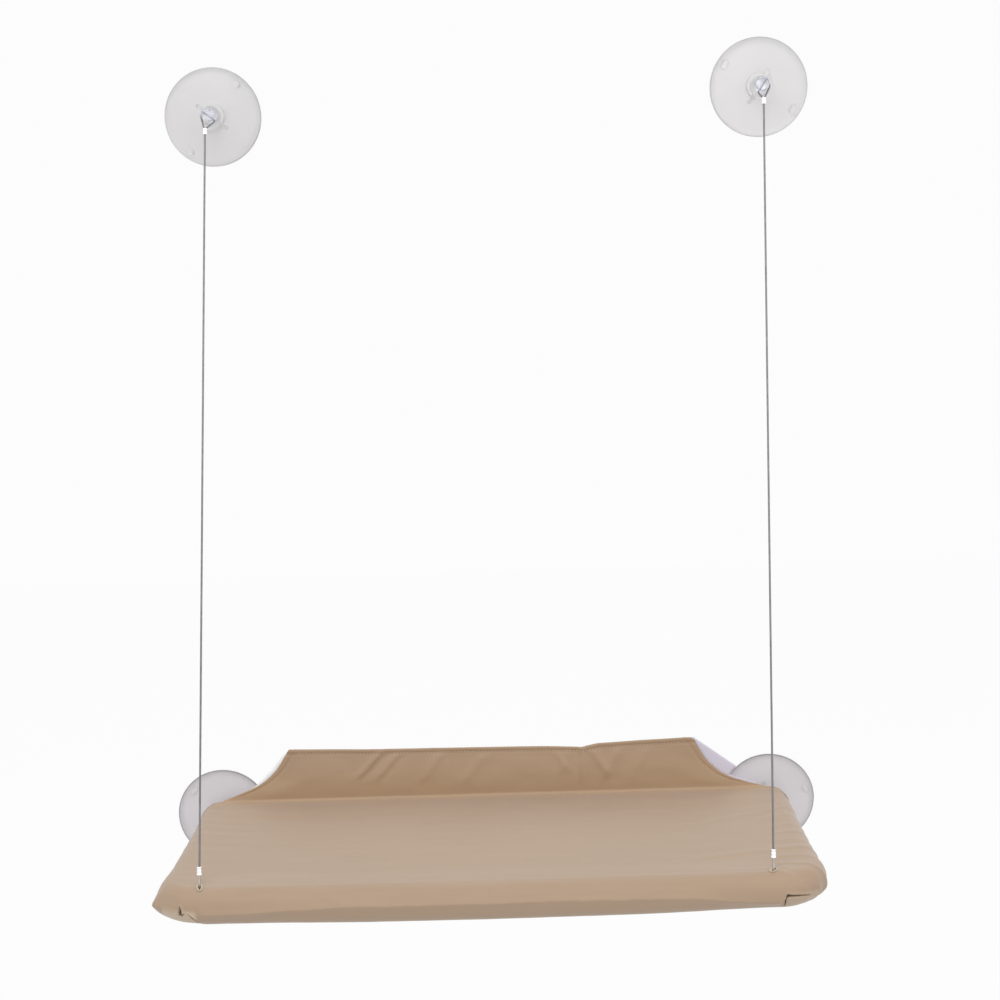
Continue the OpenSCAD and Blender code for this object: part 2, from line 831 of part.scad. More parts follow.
// White sheet behind the flap, on the side of the glass
module flap_backing() {
  y0 = -(crease_y - cloth_t / 2 - backing_gap);
  base_z = top_z + crease_gap;
  width = flap_left + flap_right;
  high = top_z - backing_drop;
  top_line = [for (item = edge_shares)
    [max(-backing_top, min(backing_top, item[0] * width - flap_left)), high + flap_h * item[1]]];
  color([0.88, 0.87, 0.9])
    translate([0, y0 + backing_t, 0])
      rotate([90, 0, 0])
        linear_extrude(height = backing_t)
          polygon(concat([[-backing_left, base_z], [-backing_left, top_z + backing_foot]], top_line,
            [[max(backing_top, flap_right), high + flap_h * edge_shares[len(edge_shares) - 1][1]],
            [backing_right, top_z + backing_foot], [backing_right, base_z]]));
}

cup_upper_left();
cup_upper_right();
cup_lower_left();
cup_lower_right();
collar_left();
collar_right();
loop_upper_left();
loop_upper_right();
ferrule_upper_left();
ferrule_upper_right();
cable_left();
cable_right();
ferrule_lower_left();
ferrule_lower_right();
loop_lower_left();
loop_lower_right();
anchor_pin_left();
anchor_pin_right();
front_rail();
rear_rail();
side_rail_left();
side_rail_right();
corner_front_left();
corner_front_right();
corner_rear_left();
corner_rear_right();
frame_screws();
seat_cover();
grip_patches();
back_flap();
flap_backing();
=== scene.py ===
import math

import bmesh
import bpy
from mathutils import Matrix, Vector, noise


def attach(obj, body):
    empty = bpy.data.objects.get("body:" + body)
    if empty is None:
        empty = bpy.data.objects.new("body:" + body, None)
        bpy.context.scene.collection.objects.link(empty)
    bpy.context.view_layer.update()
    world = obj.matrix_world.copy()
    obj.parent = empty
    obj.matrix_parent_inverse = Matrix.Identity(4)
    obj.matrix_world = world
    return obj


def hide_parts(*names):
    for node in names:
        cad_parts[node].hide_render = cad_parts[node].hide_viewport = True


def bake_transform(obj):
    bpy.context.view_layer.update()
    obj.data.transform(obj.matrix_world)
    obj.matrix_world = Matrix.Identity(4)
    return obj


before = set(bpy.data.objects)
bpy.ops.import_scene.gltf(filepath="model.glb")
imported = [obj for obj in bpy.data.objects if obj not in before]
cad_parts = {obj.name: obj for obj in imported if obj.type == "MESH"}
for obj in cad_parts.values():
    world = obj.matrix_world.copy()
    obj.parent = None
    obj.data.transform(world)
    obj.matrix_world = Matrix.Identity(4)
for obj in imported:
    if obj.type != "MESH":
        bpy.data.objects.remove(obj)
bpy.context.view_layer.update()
mm = 0.001

# --- Camera ---------------------------------------------------------------
# It stands in the room, half a metre above the seat, and looks at the glass a
# little downwards, with the slight lean that the photograph has.
camera = bpy.data.objects.new("camera", bpy.data.cameras.new("camera"))
bpy.context.scene.collection.objects.link(camera)
bpy.context.scene.camera = camera
camera.data.sensor_width = 36
camera.data.lens = 54
camera.data.clip_start, camera.data.clip_end = 0.05, 30
look_down, look_aside, lean = (math.radians(a) for a in (7.96, -0.99, -2.0))
facing = (
    Matrix.Rotation(lean, 3, "Z")
    @ Matrix.Rotation(look_down, 3, "X")
    @ Matrix.Rotation(-look_aside, 3, "Y")
    @ Matrix(((1, 0, 0), (0, 0, -1), (0, 1, 0)))
)
standing = facing.transposed() @ Matrix.Diagonal((1, -1, -1))
camera_at = (0.0399, -1.4274, 0.5047)
camera.matrix_world = Matrix.Translation(camera_at) @ standing.to_4x4()

# --- Hanging cables -------------------------------------------------------
# Two galvanised wire ropes, 1.8 mm thick, each of six strands laid round a core.
# They run taut from the seat's front corners to the upper suction cups, and each
# end is turned into a loop of the same wire and crimped in an aluminium sleeve.
front_y, tube_z, pivot_y = 229, 2, 17
anchor_x = {"left": -245.5, "right": 236.5}
upper_post = {"left": Vector((-239, -pivot_y, 673)), "right": Vector((267, -pivot_y, 682))}
hang = {"left": -4, "right": 2}
upper_turn = {"left": -38, "right": 56}
low_loop = {"left": 24, "right": 25}
low_sleeve, up_sleeve, loop_drop = 7, 6, 13
cable_thick, wire_thick = 1.8, 1.5
sides = ("left", "right")
foot = {s: Vector((anchor_x[s], -front_y, tube_z)) for s in sides}
hook = {s: upper_post[s] + Vector((hang[s], 0, 0)) for s in sides}
up_line = {s: (hook[s] - foot[s]).normalized() for s in sides}
line_long = {s: (hook[s] - foot[s]).length for s in sides}


class Signal:
    """An output of a material's nodes, which sums and products can be made with."""

    def __init__(self, finish, socket):
        self.finish, self.socket = finish, socket

    def maths(self, operation, *values):
        return self.finish.node("ShaderNodeMath", {"operation": operation}, dict(enumerate(values)))

    def __add__(self, other):
        return self.maths("ADD", self, other)

    def __sub__(self, other):
        return self.maths("SUBTRACT", self, other)

    def __mul__(self, other):
        return self.maths("MULTIPLY", self, other)

    def __rsub__(self, other):
        return self.maths("SUBTRACT", other, self)

    __radd__, __rmul__ = __add__, __mul__

    def bounded(self, low=0.0, high=1.0):
        return self.maths("MINIMUM", self.maths("MAXIMUM", self, low), high)


class Finish:
    """A procedural material, with the numbers of its shader and nodes that feed it."""

    def __init__(self, name, **numbers):
        self.material = bpy.data.materials.new(name)
        self.material.use_nodes = True
        self.tree = self.material.node_tree
        self.shader = self.tree.nodes["Principled BSDF"]
        for socket, value in numbers.items():
            self.shader.inputs[socket.replace("_", " ")].default_value = value

    def node(self, kind, settings, values, output=0):
        made = self.tree.nodes.new(kind)
        for key, value in settings.items():
            if key == "stops":
                stops = made.color_ramp.elements
                for i, (place, colour) in enumerate(value):
                    stop = stops[i] if i < len(stops) else stops.new(place)
                    stop.position, stop.color = place, (*colour, 1)
            else:
                setattr(made, key, value)
        for key, value in values.items():
            if isinstance(value, Signal):
                self.tree.links.new(value.socket, made.inputs[key])
            elif value is not None:
                made.inputs[key].default_value = value
        return Signal(self, made.outputs[output])

    def place(self, scale=(1, 1, 1), attribute=None):
        if attribute:
            where = self.node("ShaderNodeAttribute", {"attribute_name": attribute}, {}, "Vector")
        else:
            where = self.node("ShaderNodeTexCoord", {}, {}, "Object")
        return self.node("ShaderNodeMapping", {}, {"Vector": where, "Scale": scale})

    def grain(self, scale, detail=3.0, where=None):
        values = {"Vector": where or self.place(), "Scale": scale, "Detail": detail}
        return self.node("ShaderNodeTexNoise", {}, values)

    def blend(self, share, first, second):
        values = {
            "Factor": share,
            6: first if isinstance(first, Signal) else (*first, 1),
            7: second if isinstance(second, Signal) else (*second, 1),
        }
        return self.node("ShaderNodeMix", {"data_type": "RGBA"}, values, 2)

    def relief(self, height, strength, distance=0.001, below=None):
        values = {"Height": height, "Strength": strength, "Distance": distance, "Normal": below}
        return self.node("ShaderNodeBump", {}, values)

    def feed(self, **signals):
        for socket, signal in signals.items():
            self.tree.links.new(signal.socket, self.shader.inputs[socket.replace("_", " ")])


def mottled(name, tones, tone_grain, wear, wear_grain=None, relief=None, **numbers):
    """A finish whose tone, roughness and fine relief follow grains, each given as a
    scale and detail. Wear without a grain of its own follows the tone's, and relief
    the wear's."""
    finish = Finish(name, **numbers)
    tone = finish.grain(*tone_grain)
    worn = finish.grain(*wear_grain) if wear_grain else tone
    finish.feed(Base_Color=finish.blend(tone, *tones), Roughness=wear[0] + wear[1] * worn)
    if relief:
        relief_grain, strength, distance = relief
        bumps = finish.grain(*relief_grain) if relief_grain else worn
        finish.feed(Normal=finish.relief(bumps, strength, distance))
    return finish


def piece_of(name, shape, finish, smooth=True):
    """The object of a finished bmesh, in millimetres, as a piece in metres."""
    bmesh.ops.transform(shape, matrix=Matrix.Scale(mm, 4), verts=shape.verts)
    mesh = bpy.data.meshes.new(name)
    shape.to_mesh(mesh)
    shape.free()
    mesh.polygons.foreach_set("use_smooth", [smooth] * len(mesh.polygons))
    mesh.materials.append(finish.material)
    piece = bpy.data.objects.new(name, mesh)
    bpy.context.scene.collection.objects.link(piece)
    return piece


def evenly(points, step):
    """Points a set step apart along a line of points."""
    spaced, carry = [points[0]], 0.0
    for start, end in zip(points, points[1:]):
        long = (end - start).length
        at = step - carry
        while at <= long:
            spaced.append(start.lerp(end, at / long))
            at += step
        carry = long - (at - step)
    if (spaced[-1] - points[-1]).length > step / 4:
        spaced.append(points[-1])
    return spaced


def points_of(made):
    """The points among what a bmesh operation has made."""
    return [v for v in made if isinstance(v, bmesh.types.BMVert)]


def face_outwards(shape):
    """Turns a closed shape's faces outwards, and those of a sheet to one side."""
    bmesh.ops.recalc_face_normals(shape, faces=shape.faces)


def standing_on(point, way):
    """The turn and shift that put a shape on Z on a point, along a way."""
    turned = Vector((0, 0, 1)).rotation_difference(way).to_matrix().to_4x4()
    return Matrix.Translation(point) @ turned


def laid_wire(route, thick, lay):
    """Wire rope of six strands along a route, turning once in each lay."""
    shape = bmesh.new()
    strands, per_strand, groove = 6, 4, 0.16
    around = strands * per_strand
    ring = bmesh.ops.create_circle(shape, segments=around, radius=thick / 2)["verts"]
    for point in ring:
        turn = math.atan2(point.co.y, point.co.x)
        point.co *= 1 - groove + groove * abs(math.cos(strands / 2 * turn))
    first = ends = list({edge for point in ring for edge in point.link_edges})
    way = (route[1] - route[0]).normalized()
    bmesh.ops.transform(shape, matrix=standing_on(route[0], way), verts=ring)
    for i in range(1, len(route)):
        ahead = route[min(i + 1, len(route) - 1)] - route[i - 1]
        new_way = ahead.normalized()
        bend = way.rotation_difference(new_way).to_matrix().to_4x4()
        twist = Matrix.Rotation(math.tau * (route[i] - route[i - 1]).length / lay, 4, new_way)
        step = Matrix.Translation(route[i]) @ twist @ bend @ Matrix.Translation(-route[i - 1])
        grown = bmesh.ops.extrude_edge_only(shape, edges=ends)["geom"]
        ends = [e for e in grown if isinstance(e, bmesh.types.BMEdge) and e.is_boundary]
        ring = points_of(grown)
        bmesh.ops.transform(shape, matrix=step, verts=ring)
        way = new_way
    bmesh.ops.holes_fill(shape, edges=first + ends, sides=0)
    face_outwards(shape)
    return shape


def softened(points, back, steps=8):
    """A line of points with each inner corner rounded, starting a way before it."""
    line = [points[0]]
    for before, corner, after in zip(points, points[1:], points[2:]):
        a = corner.lerp(before, min(0.5, back / (before - corner).length))
        b = corner.lerp(after, min(0.5, back / (after - corner).length))
        for k in range(steps + 1):
            t = k / steps
            line.append((1 - t) ** 2 * a + 2 * t * (1 - t) * corner + t * t * b)
    return line + [points[-1]]


wire_tones = ((0.13, 0.13, 0.135), (0.27, 0.27, 0.28))
wire_steel = mottled("wire_steel", wire_tones, (160.0,), (0.28, 0.25), (500.0,), Metallic=0.9)

cables = {}
for s in sides:
    low = foot[s] + (low_loop[s] + low_sleeve - 2) * up_line[s]
    high = foot[s] + (line_long[s] - loop_drop - up_sleeve + 2) * up_line[s]
    route = evenly([low, high], 1.1)
    cable = piece_of(f"cable_{s}_rope", laid_wire(route, cable_thick, 11), wire_steel)
    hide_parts(f"cable_{s}")
    cables[s] = (cable, route)

# --- Wire loops of the cables --------------------------------------------
# The wire's end goes through the hole across an upper cup's post and comes back
# to the sleeve as a triangle. At the seat it comes back as a narrow eye, which
# hooks round a steel pin in the frame's corner piece. There the wire has painted
# light: a lighter copy of its steel.
post_r, cross_hole, pin_r, slack = 5, 4, 1.5, 0.1
wire_r = wire_thick / 2
# Painted light: the eye's steel is a lighter copy of the wire's steel.
lit_eye_tones = ((0.4, 0.385, 0.37), (0.6, 0.585, 0.57))
lit_eye_steel = mottled("lit_eye_steel", lit_eye_tones, (160.0,), (0.26, 0.2), (500.0,), Metallic=0.9)
for s in sides:
    turn = math.radians(upper_turn[s])
    way = math.copysign(1, turn)
    along = Vector((math.cos(turn), 0, math.sin(turn)))
    sag = cross_hole / 2 - wire_r - slack
    reach = post_r + wire_thick + wire_r
    middle = upper_post[s] + sag * Vector((math.sin(turn), 0, -math.cos(turn)))
    beside = upper_post[s] + (reach + wire_r) * Vector((way * 0.985, 0, -0.174))
    apex = hook[s] - loop_drop * up_line[s]
    spread = Vector((way * (wire_r + 0.05), 0, 0))
    grip = apex - up_sleeve / 3 * up_line[s]
    corners = [
        grip - spread,
        apex - spread,
        middle - way * reach * along,
        middle + way * reach * along,
        beside,
        apex + spread,
        grip + spread,
    ]
    route = evenly(softened(corners, wire_thick), 0.8)
    upper = piece_of(f"loop_upper_{s}_wire", laid_wire(route, wire_thick, 9), wire_steel)
    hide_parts(f"loop_upper_{s}")
    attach(upper, "window_cups")

    out = Vector((0, 1, 0)) - up_line[s] * up_line[s].y
    out.normalize()
    eye = pin_r + wire_r + slack
    top = low_loop[s] + low_sleeve / 3
    side = wire_r + 0.05
    line = [(-side, top), (-side, 12), (-eye, 6)]
    line += [(-eye * math.cos(math.pi * k / 12), -eye * math.sin(math.pi * k / 12)) for k in range(13)]
    line += [(eye, 6), (side, 12), (side, top)]
    points = [foot[s] + a * out + b * up_line[s] for a, b in line]
    route = evenly(points, 0.8)
    lower = piece_of(f"loop_lower_{s}_wire", laid_wire(route, wire_thick, 9), lit_eye_steel)
    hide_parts(f"loop_lower_{s}")
    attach(lower, "seat")

# --- Crimped sleeves ------------------------------------------------------
# Short aluminium ferrules with a rolled rim at each end, squeezed flat in two
# places by the crimping pliers.
bright_tones = ((0.9, 0.9, 0.92), (0.97, 0.97, 0.98))
sleeve_metal = mottled(
    "sleeve_metal", bright_tones, (700.0, 2.0), (0.12, 0.2), relief=(None, 0.12, 0.0002), Metallic=1.0
)


def spun(outline, steps):
    """Closed shape turned about Z from its half outline."""
    shape = bmesh.new()
    points = [shape.verts.new((wide, 0, high)) for wide, high in outline]
    edges = [shape.edges.new(pair) for pair in zip(points, points[1:])]
    whole_turn = {"cent": (0, 0, 0), "axis": (0, 0, 1), "angle": math.tau, "use_merge": True}
    bmesh.ops.spin(shape, geom=points + edges, steps=steps, **whole_turn)
    bmesh.ops.remove_doubles(shape, verts=shape.verts, dist=0.001)
    face_outwards(shape)
    return shape


def crimped_sleeve(name, start, way, long):
    """Sleeve that stands on a point and runs along a way."""
    body, rim, bore, crimp = 2.05, 2.25, 0.6, 0.14
    outline = [(bore, 0), (rim - 0.25, 0), (rim, 0.2), (rim, 0.7), (body, 0.95)]
    for share in (0.25, 0.32, 0.39, 0.61, 0.68, 0.75):
        outline.append((body - (crimp if share in (0.32, 0.68) else 0), share * long))
    outline += [(wide, long - high) for wide, high in reversed(outline[:5])]
    shape = spun(outline, 28)
    bmesh.ops.holes_fill(shape, edges=shape.edges, sides=0)
    face_outwards(shape)
    pressed = Matrix.Diagonal((1.06, 0.94, 1, 1))
    bmesh.ops.transform(shape, matrix=standing_on(start, way) @ pressed, verts=shape.verts)
    return piece_of(name, shape, sleeve_metal)


for s in sides:
    cable, route = cables[s]
    lower = crimped_sleeve(
        f"ferrule_lower_{s}_sleeve", foot[s] + low_loop[s] * up_line[s], up_line[s], low_sleeve
    )
    top_start = foot[s] + (line_long[s] - loop_drop - up_sleeve) * up_line[s]
    upper = crimped_sleeve(f"ferrule_upper_{s}_sleeve", top_start, up_line[s], up_sleeve)
    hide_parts(f"ferrule_lower_{s}")
    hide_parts(f"ferrule_upper_{s}")
    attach(lower, "seat")
    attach(upper, "window_cups")
    full = (route[-1] - route[0]).length * mm
    route[0] * mm
    [p * mm for p in route]
    slack_from = 0.62
    down_here = route[0].lerp(route[-1], slack_from) * mm
    route[0] * mm
    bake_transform(cable)

# --- Tube frame -----------------------------------------------------------
# Four lengths of white plastic pipe pushed on the spigots of four grey moulded
# corner pieces and held by six small steel screws. Nothing of it shows from the
# front, because the cloth is stretched over it.


def dress(finish, *nodes):
    """Gives CAD nodes, whose shape is right, their finish."""
    for name in nodes:
        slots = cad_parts[name].material_slots
        for i in range(len(slots)):
            slots[i].material = finish.material


pipe_tones = ((0.86, 0.86, 0.84), (0.8, 0.8, 0.78))
pipe_plastic = mottled(
    "pipe_plastic", pipe_tones, (60.0, 2.0), (0.26, 0.16), relief=((350.0, 2.0), 0.05, 0.0002)
)
dress(pipe_plastic, "front_rail", "rear_rail", "side_rail_left", "side_rail_right")

corner_tones = ((0.5, 0.5, 0.53), (0.6, 0.6, 0.63))
corner_plastic = mottled(
    "corner_plastic", corner_tones, (45.0,), (0.4, 0.2), (1400.0, 1.0), (None, 0.2, 0.0002)
)
dress(corner_plastic, "corner_front_left", "corner_front_right", "corner_rear_left", "corner_rear_right")

pin_tones = ((0.52, 0.52, 0.54), (0.7, 0.7, 0.72))
pin_steel = mottled("pin_steel", pin_tones, (420.0, 2.0), (0.2, 0.25), Metallic=1.0)
dress(pin_steel, "anchor_pin_left", "anchor_pin_right")

# --- Frame screws ---------------------------------------------------------
# Six pan head screws, 3.2 mm thick, driven through pipe and spigot from the
# inside of the frame.
pipe_r, screw_head_r, screw_head_h, shank_r, shank_l = 13.5, 3.2, 1.8, 1.6, 5
side_x, rear_y = 270, 43
screw_places = [
    (Vector((sign * (side_x - pipe_r), -y, tube_z)), Vector((sign, 0, 0)))
    for sign in (-1, 1)
    for y in (front_y - 47, 66.6)
]
screw_places += [(Vector((sign * 235, -rear_y - pipe_r, tube_z)), Vector((0, 1, 0))) for sign in (-1, 1)]
screws = spun(
    [
        (0, -screw_head_h),
        (screw_head_r * 0.55, -screw_head_h),
        (screw_head_r * 0.86, -screw_head_h * 0.75),
        (screw_head_r, -screw_head_h * 0.35),
        (screw_head_r, 0),
        (shank_r, 0),
        (shank_r, shank_l - 1),
        (0, shank_l),
    ],
    24,
)
# The first screw is copied to every place but the last, where it goes itself
first_screw = list(screws.verts) + list(screws.edges) + list(screws.faces)
for start, way in screw_places:
    geometry = first_screw
    if start != screw_places[-1][0]:
        geometry = bmesh.ops.duplicate(screws, geom=first_screw)["geom"]
    bmesh.ops.transform(screws, matrix=standing_on(start, way), verts=points_of(geometry))
screws = piece_of("frame_screws_set", screws, pin_steel)
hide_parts("frame_screws")
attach(screws, "seat")

# --- Cloth cover with its upright flap ------------------------------------
# One piece of tan polyester twill, cut flat, stretched over the frame, rolled
# round the front and side pipes and tucked under. At the rear it turns up in a
# crease and stands as a hemmed flap. The grid is the cloth laid flat: a runs
# across it and b from the crease (0) to the front, with the flap below 0.
arc_x, arc_y, bend, roll = 243, 202, 27, 15
crease_y, top_z, crease_half = 16.6, 17, 268
flap_left, flap_right, flap_h = 198.5, 191, 50
side_tuck, front_tuck, half_turn = 50, 60, math.pi * roll
fillet, crease_ahead = 3.0, 0.7
edge_a = arc_x + bend + half_turn
edge_b = arc_y - crease_y + bend + half_turn
ridge_b = edge_b - half_turn / 2


def rise(low, high, x):
    """0 below low, 1 above high and smooth between."""
    t = min(1.0, max(0.0, (x - low) / (high - low)))
    return t * t * (3 - 2 * t)


def uneven(x, y, z):
    """Smooth random value at a place, about -1 to 1."""
    return noise.noise(Vector((x, y, z)))


def between(stops, x):
    """Value at x on straight lines between stops."""
    for (x0, v0), (x1, v1) in zip(stops, stops[1:]):
        if x <= x1:
            return v0 + (v1 - v0) * max(0.0, (x - x0) / (x1 - x0))
    return stops[-1][1]


def hump(x, middle, wide):
    """1 at the middle, falling to 0 on both sides."""
    return math.exp(-(((x - middle) / wide) ** 2))


# How far the flap's slanted ends stand out beyond its top, from its foot (1) up
flare = {
    "left": [(0, 1), (0.034, 0.985), (0.08, 0.87), (0.157, 0.724), (0.239, 0.578), (0.301, 0.477)]
    + [(0.394, 0.36), (0.485, 0.277), (0.597, 0.195), (0.729, 0.126), (0.85, 0.07), (1, 0)],
    "right": [(0, 1), (0.04, 0.92), (0.095, 0.756), (0.147, 0.655), (0.183, 0.572), (0.236, 0.492)]
    + [(0.305, 0.4), (0.405, 0.317), (0.523, 0.234), (0.622, 0.185), (0.755, 0.131), (0.873, 0.085)]
    + [(0.95, 0.066), (1, 0.01)],
}
# The flap's height along its hem, the hems' widths, and the cut of the rear edge
hem_line = [(0, 1.04), (0.2, 0.995), (0.48, 0.975), (0.64, 0.955), (0.73, 0.92), (0.77, 0.985)]
hem_line += [(0.9, 1.025), (1, 1.05)]
top_hem, side_hem = 4.5, 6.5
rear_cut = [(268, 0), (276, 0.6), (282, 3.5), (290, 8), (295, 13), (317, 22), (330, 34), (400, 36.4)]
# How far the pressed ridge along the front lies below the foremost line, and the
# share of the cloth's looseness there
ridge_drop = [(-243, 2.1), (-213, 2.1), (-181, 0.4), (-149, -1), (-117, -2.6), (-85, -2), (-21, -2.2)]
ridge_drop += [(43, -2.7), (107, -2.2), (139, -2), (171, -0.7), (203, 3.1), (211, 4.2), (243, 6)]
front_slack = [(-243, 0.25), (-181, 0.5), (-117, 0.83), (-53, 0.97), (11, 1.08), (75, 0.93)]
front_slack += [(139, 0.85), (203, 0.12), (243, 0)]
# How far the folded tip of the left corner stands out, by the turn round it
left_tip = [(0.2, 0), (0.35, 0.8), (0.6, 2.2), (0.9, 5.6), (1.07, 7.8), (1.27, 3.1), (1.5, 0.8)]
# Slits where the corners are folded: points with half widths, side, depth and lips
slits = [
    ([(293, 203, 0.4), (296, 209, 1.0), (298.5, 216, 0.4)], -1, 3.2, 0.4),
    ([(266, 232.6, 0.3), (266.6, 236.0, 1.6), (267.4, 238.0, 2.4)], -1, 3.2, 0.9),
    ([(272.5, 238.6, 0.3), (267, 239.4, 0.6), (262.5, 238.0, 0.3)], -1, 1.2, 0.5),
    ([(258, 238.2, 0.3), (252.5, 242.5, 0.9), (246.5, 247.5, 0.4)], -1, 2.0, 0.7),
    ([(242.8, 237.2, 0.5), (246.5, 236.3, 1.3), (252, 236.6, 0.8)]
     + [(262, 237.0, 0.6), (279, 238, 0.25)], 1, 1.1, 0.9),
    ([(243.6, 238.0, 0.9), (244.2, 241.5, 0.7), (243.4, 246.0, 0.2)], 1, 1.0, 0.8),
    ([(276, 2.0, 0.3), (281, 6.5, 0.9), (286, 13, 0.3)], 1, 0.9, 0.5),
]
# Pull folds as lines over the flat cloth, from the soft end to the firm one, each
# with its height and width
folds = [
    ([(150, 106), (204, 85), (253, 65), (305, 42)], 0.65, 3.4),
    ([(182, 88), (244, 66)], 0.3, 3.0),
    ([(150, 187), (189, 172), (233, 161), (305, 155)], 0.65, 3.2),
    ([(170, 205), (247, 204), (270, 218)], 0.35, 3.2),
    ([(225, 60), (262, 50), (300, 36)], 0.35, 2.6),
    ([(238, 84), (268, 78), (304, 72)], 0.4, 2.4),
    ([(246, 106), (268, 102), (306, 94)], 0.5, 2.4),
    ([(243, 123), (268, 120), (308, 112)], 0.55, 2.3),
    ([(240, 142), (268, 140), (308, 134)], 0.5, 2.3),
    ([(238, 158), (262, 157), (310, 156)], 0.5, 2.3),
    ([(234, 175), (262, 178), (310, 184)], 0.55, 2.4),
    ([(232, 190), (258, 196), (306, 214)], 0.6, 2.5),
    ([(230, 206), (252, 219), (284, 244)], 0.55, 2.6),
    ([(-205, 31), (-300, 24)], 0.4, 2.4),
    ([(-212, 53), (-300, 46)], 0.4, 2.4),
    ([(-205, 75), (-303, 62)], 0.45, 2.6),
    ([(-212, 92), (-300, 82)], 0.35, 2.4),
    ([(-218, 109), (-298, 103)], 0.3, 2.4),
    ([(-196, 40), (-262, 36)], 0.25, 2.2),
    ([(-228, 18), (-270, 12), (-290, 14)], 0.3, 2.4),
    ([(-116, 236), (-154, 216)], 0.5, 2.8),
    ([(-104, 230), (-132, 214)], 0.3, 2.4),
]
# Pull folds of the flap: place across, height, width, slant, and how far below the
# top edge they start and end
flap_folds = [
    (-113, 1.9, 3.8, 0.95, 3, 20),
    (-106, -0.8, 3.4, 0.95, 4, 20),
    (-95, 1.5, 4.2, 0.85, 5, 22),
    (-88, -0.5, 3.6, 0.85, 6, 22),
    (-52, 1.3, 5.0, 0.7, 5, 24),
    (-8, 1.0, 6.0, 0.8, 8, 28),
    (62, 1.0, 4.0, -0.7, 5, 18),
    (72, 1.1, 4.0, 0.3, 4, 20),
    (86.5, 1.8, 2.2, 0.02, 1, 26),
    (98, 1.5, 4.0, -0.6, 4, 22),
    (122, 1.2, 5.0, 0.55, 6, 26),
    (150, 0.9, 6.0, 0.6, 8, 32),
]


def nearest(line, x, y):
    """How far a point is from a line's edge, how many spans along it that is, and
    the line's half width there, where its points give one."""
    best = (math.inf, 0.0, 0.0)
    for k, (start, end) in enumerate(zip(line, line[1:])):
        dx, dy = end[0] - start[0], end[1] - start[1]
        t = min(1.0, max(0.0, ((x - start[0]) * dx + (y - start[1]) * dy) / (dx * dx + dy * dy)))
        half = start[2] + t * (end[2] - start[2]) if len(start) > 2 else 0.0
        away = math.hypot(x - start[0] - t * dx, y - start[1] - t * dy) - half
        best = min(best, (away, k + t, half))
    return best


def fold_lift(a, b):
    """Height of the pull folds at a point of the flat cloth."""
    total = 0.0
    for line, high, wide in folds:
        away, spans, _ = nearest(line, a, b)
        if away < 3 * wide:
            along = spans / (len(line) - 1)
            total += high * hump(away, 0, wide) * rise(0, 0.35, along) * (1 - rise(0.9, 1, along))
    return total


def slits_near(a, b):
    """The slits that are on the same corner as a point of the flat cloth."""
    return [slit for slit in slits if a * slit[1] > 228 and abs(b - slit[0][0][1]) < 20]


def slit_lift(a, b):
    """Depth of the folded slits at a point of the flat cloth, with their lips, and
    how far the point is inside one, from 0 to 1, which sets the painted shade there."""
    total, inside = 0.0, 0.0
    for line, _, deep, lip in slits_near(a, b):
        away, _, half = nearest(line, abs(a), b)
        total += lip * hump(away, 0.9, 1.1) if away > 0 else 0
        total -= deep * min(1, half) * (1 - rise(-0.5 * half, 0.5, away))
        inside = max(inside, 1 - rise(-0.4, 0.25, away))
    return total, inside


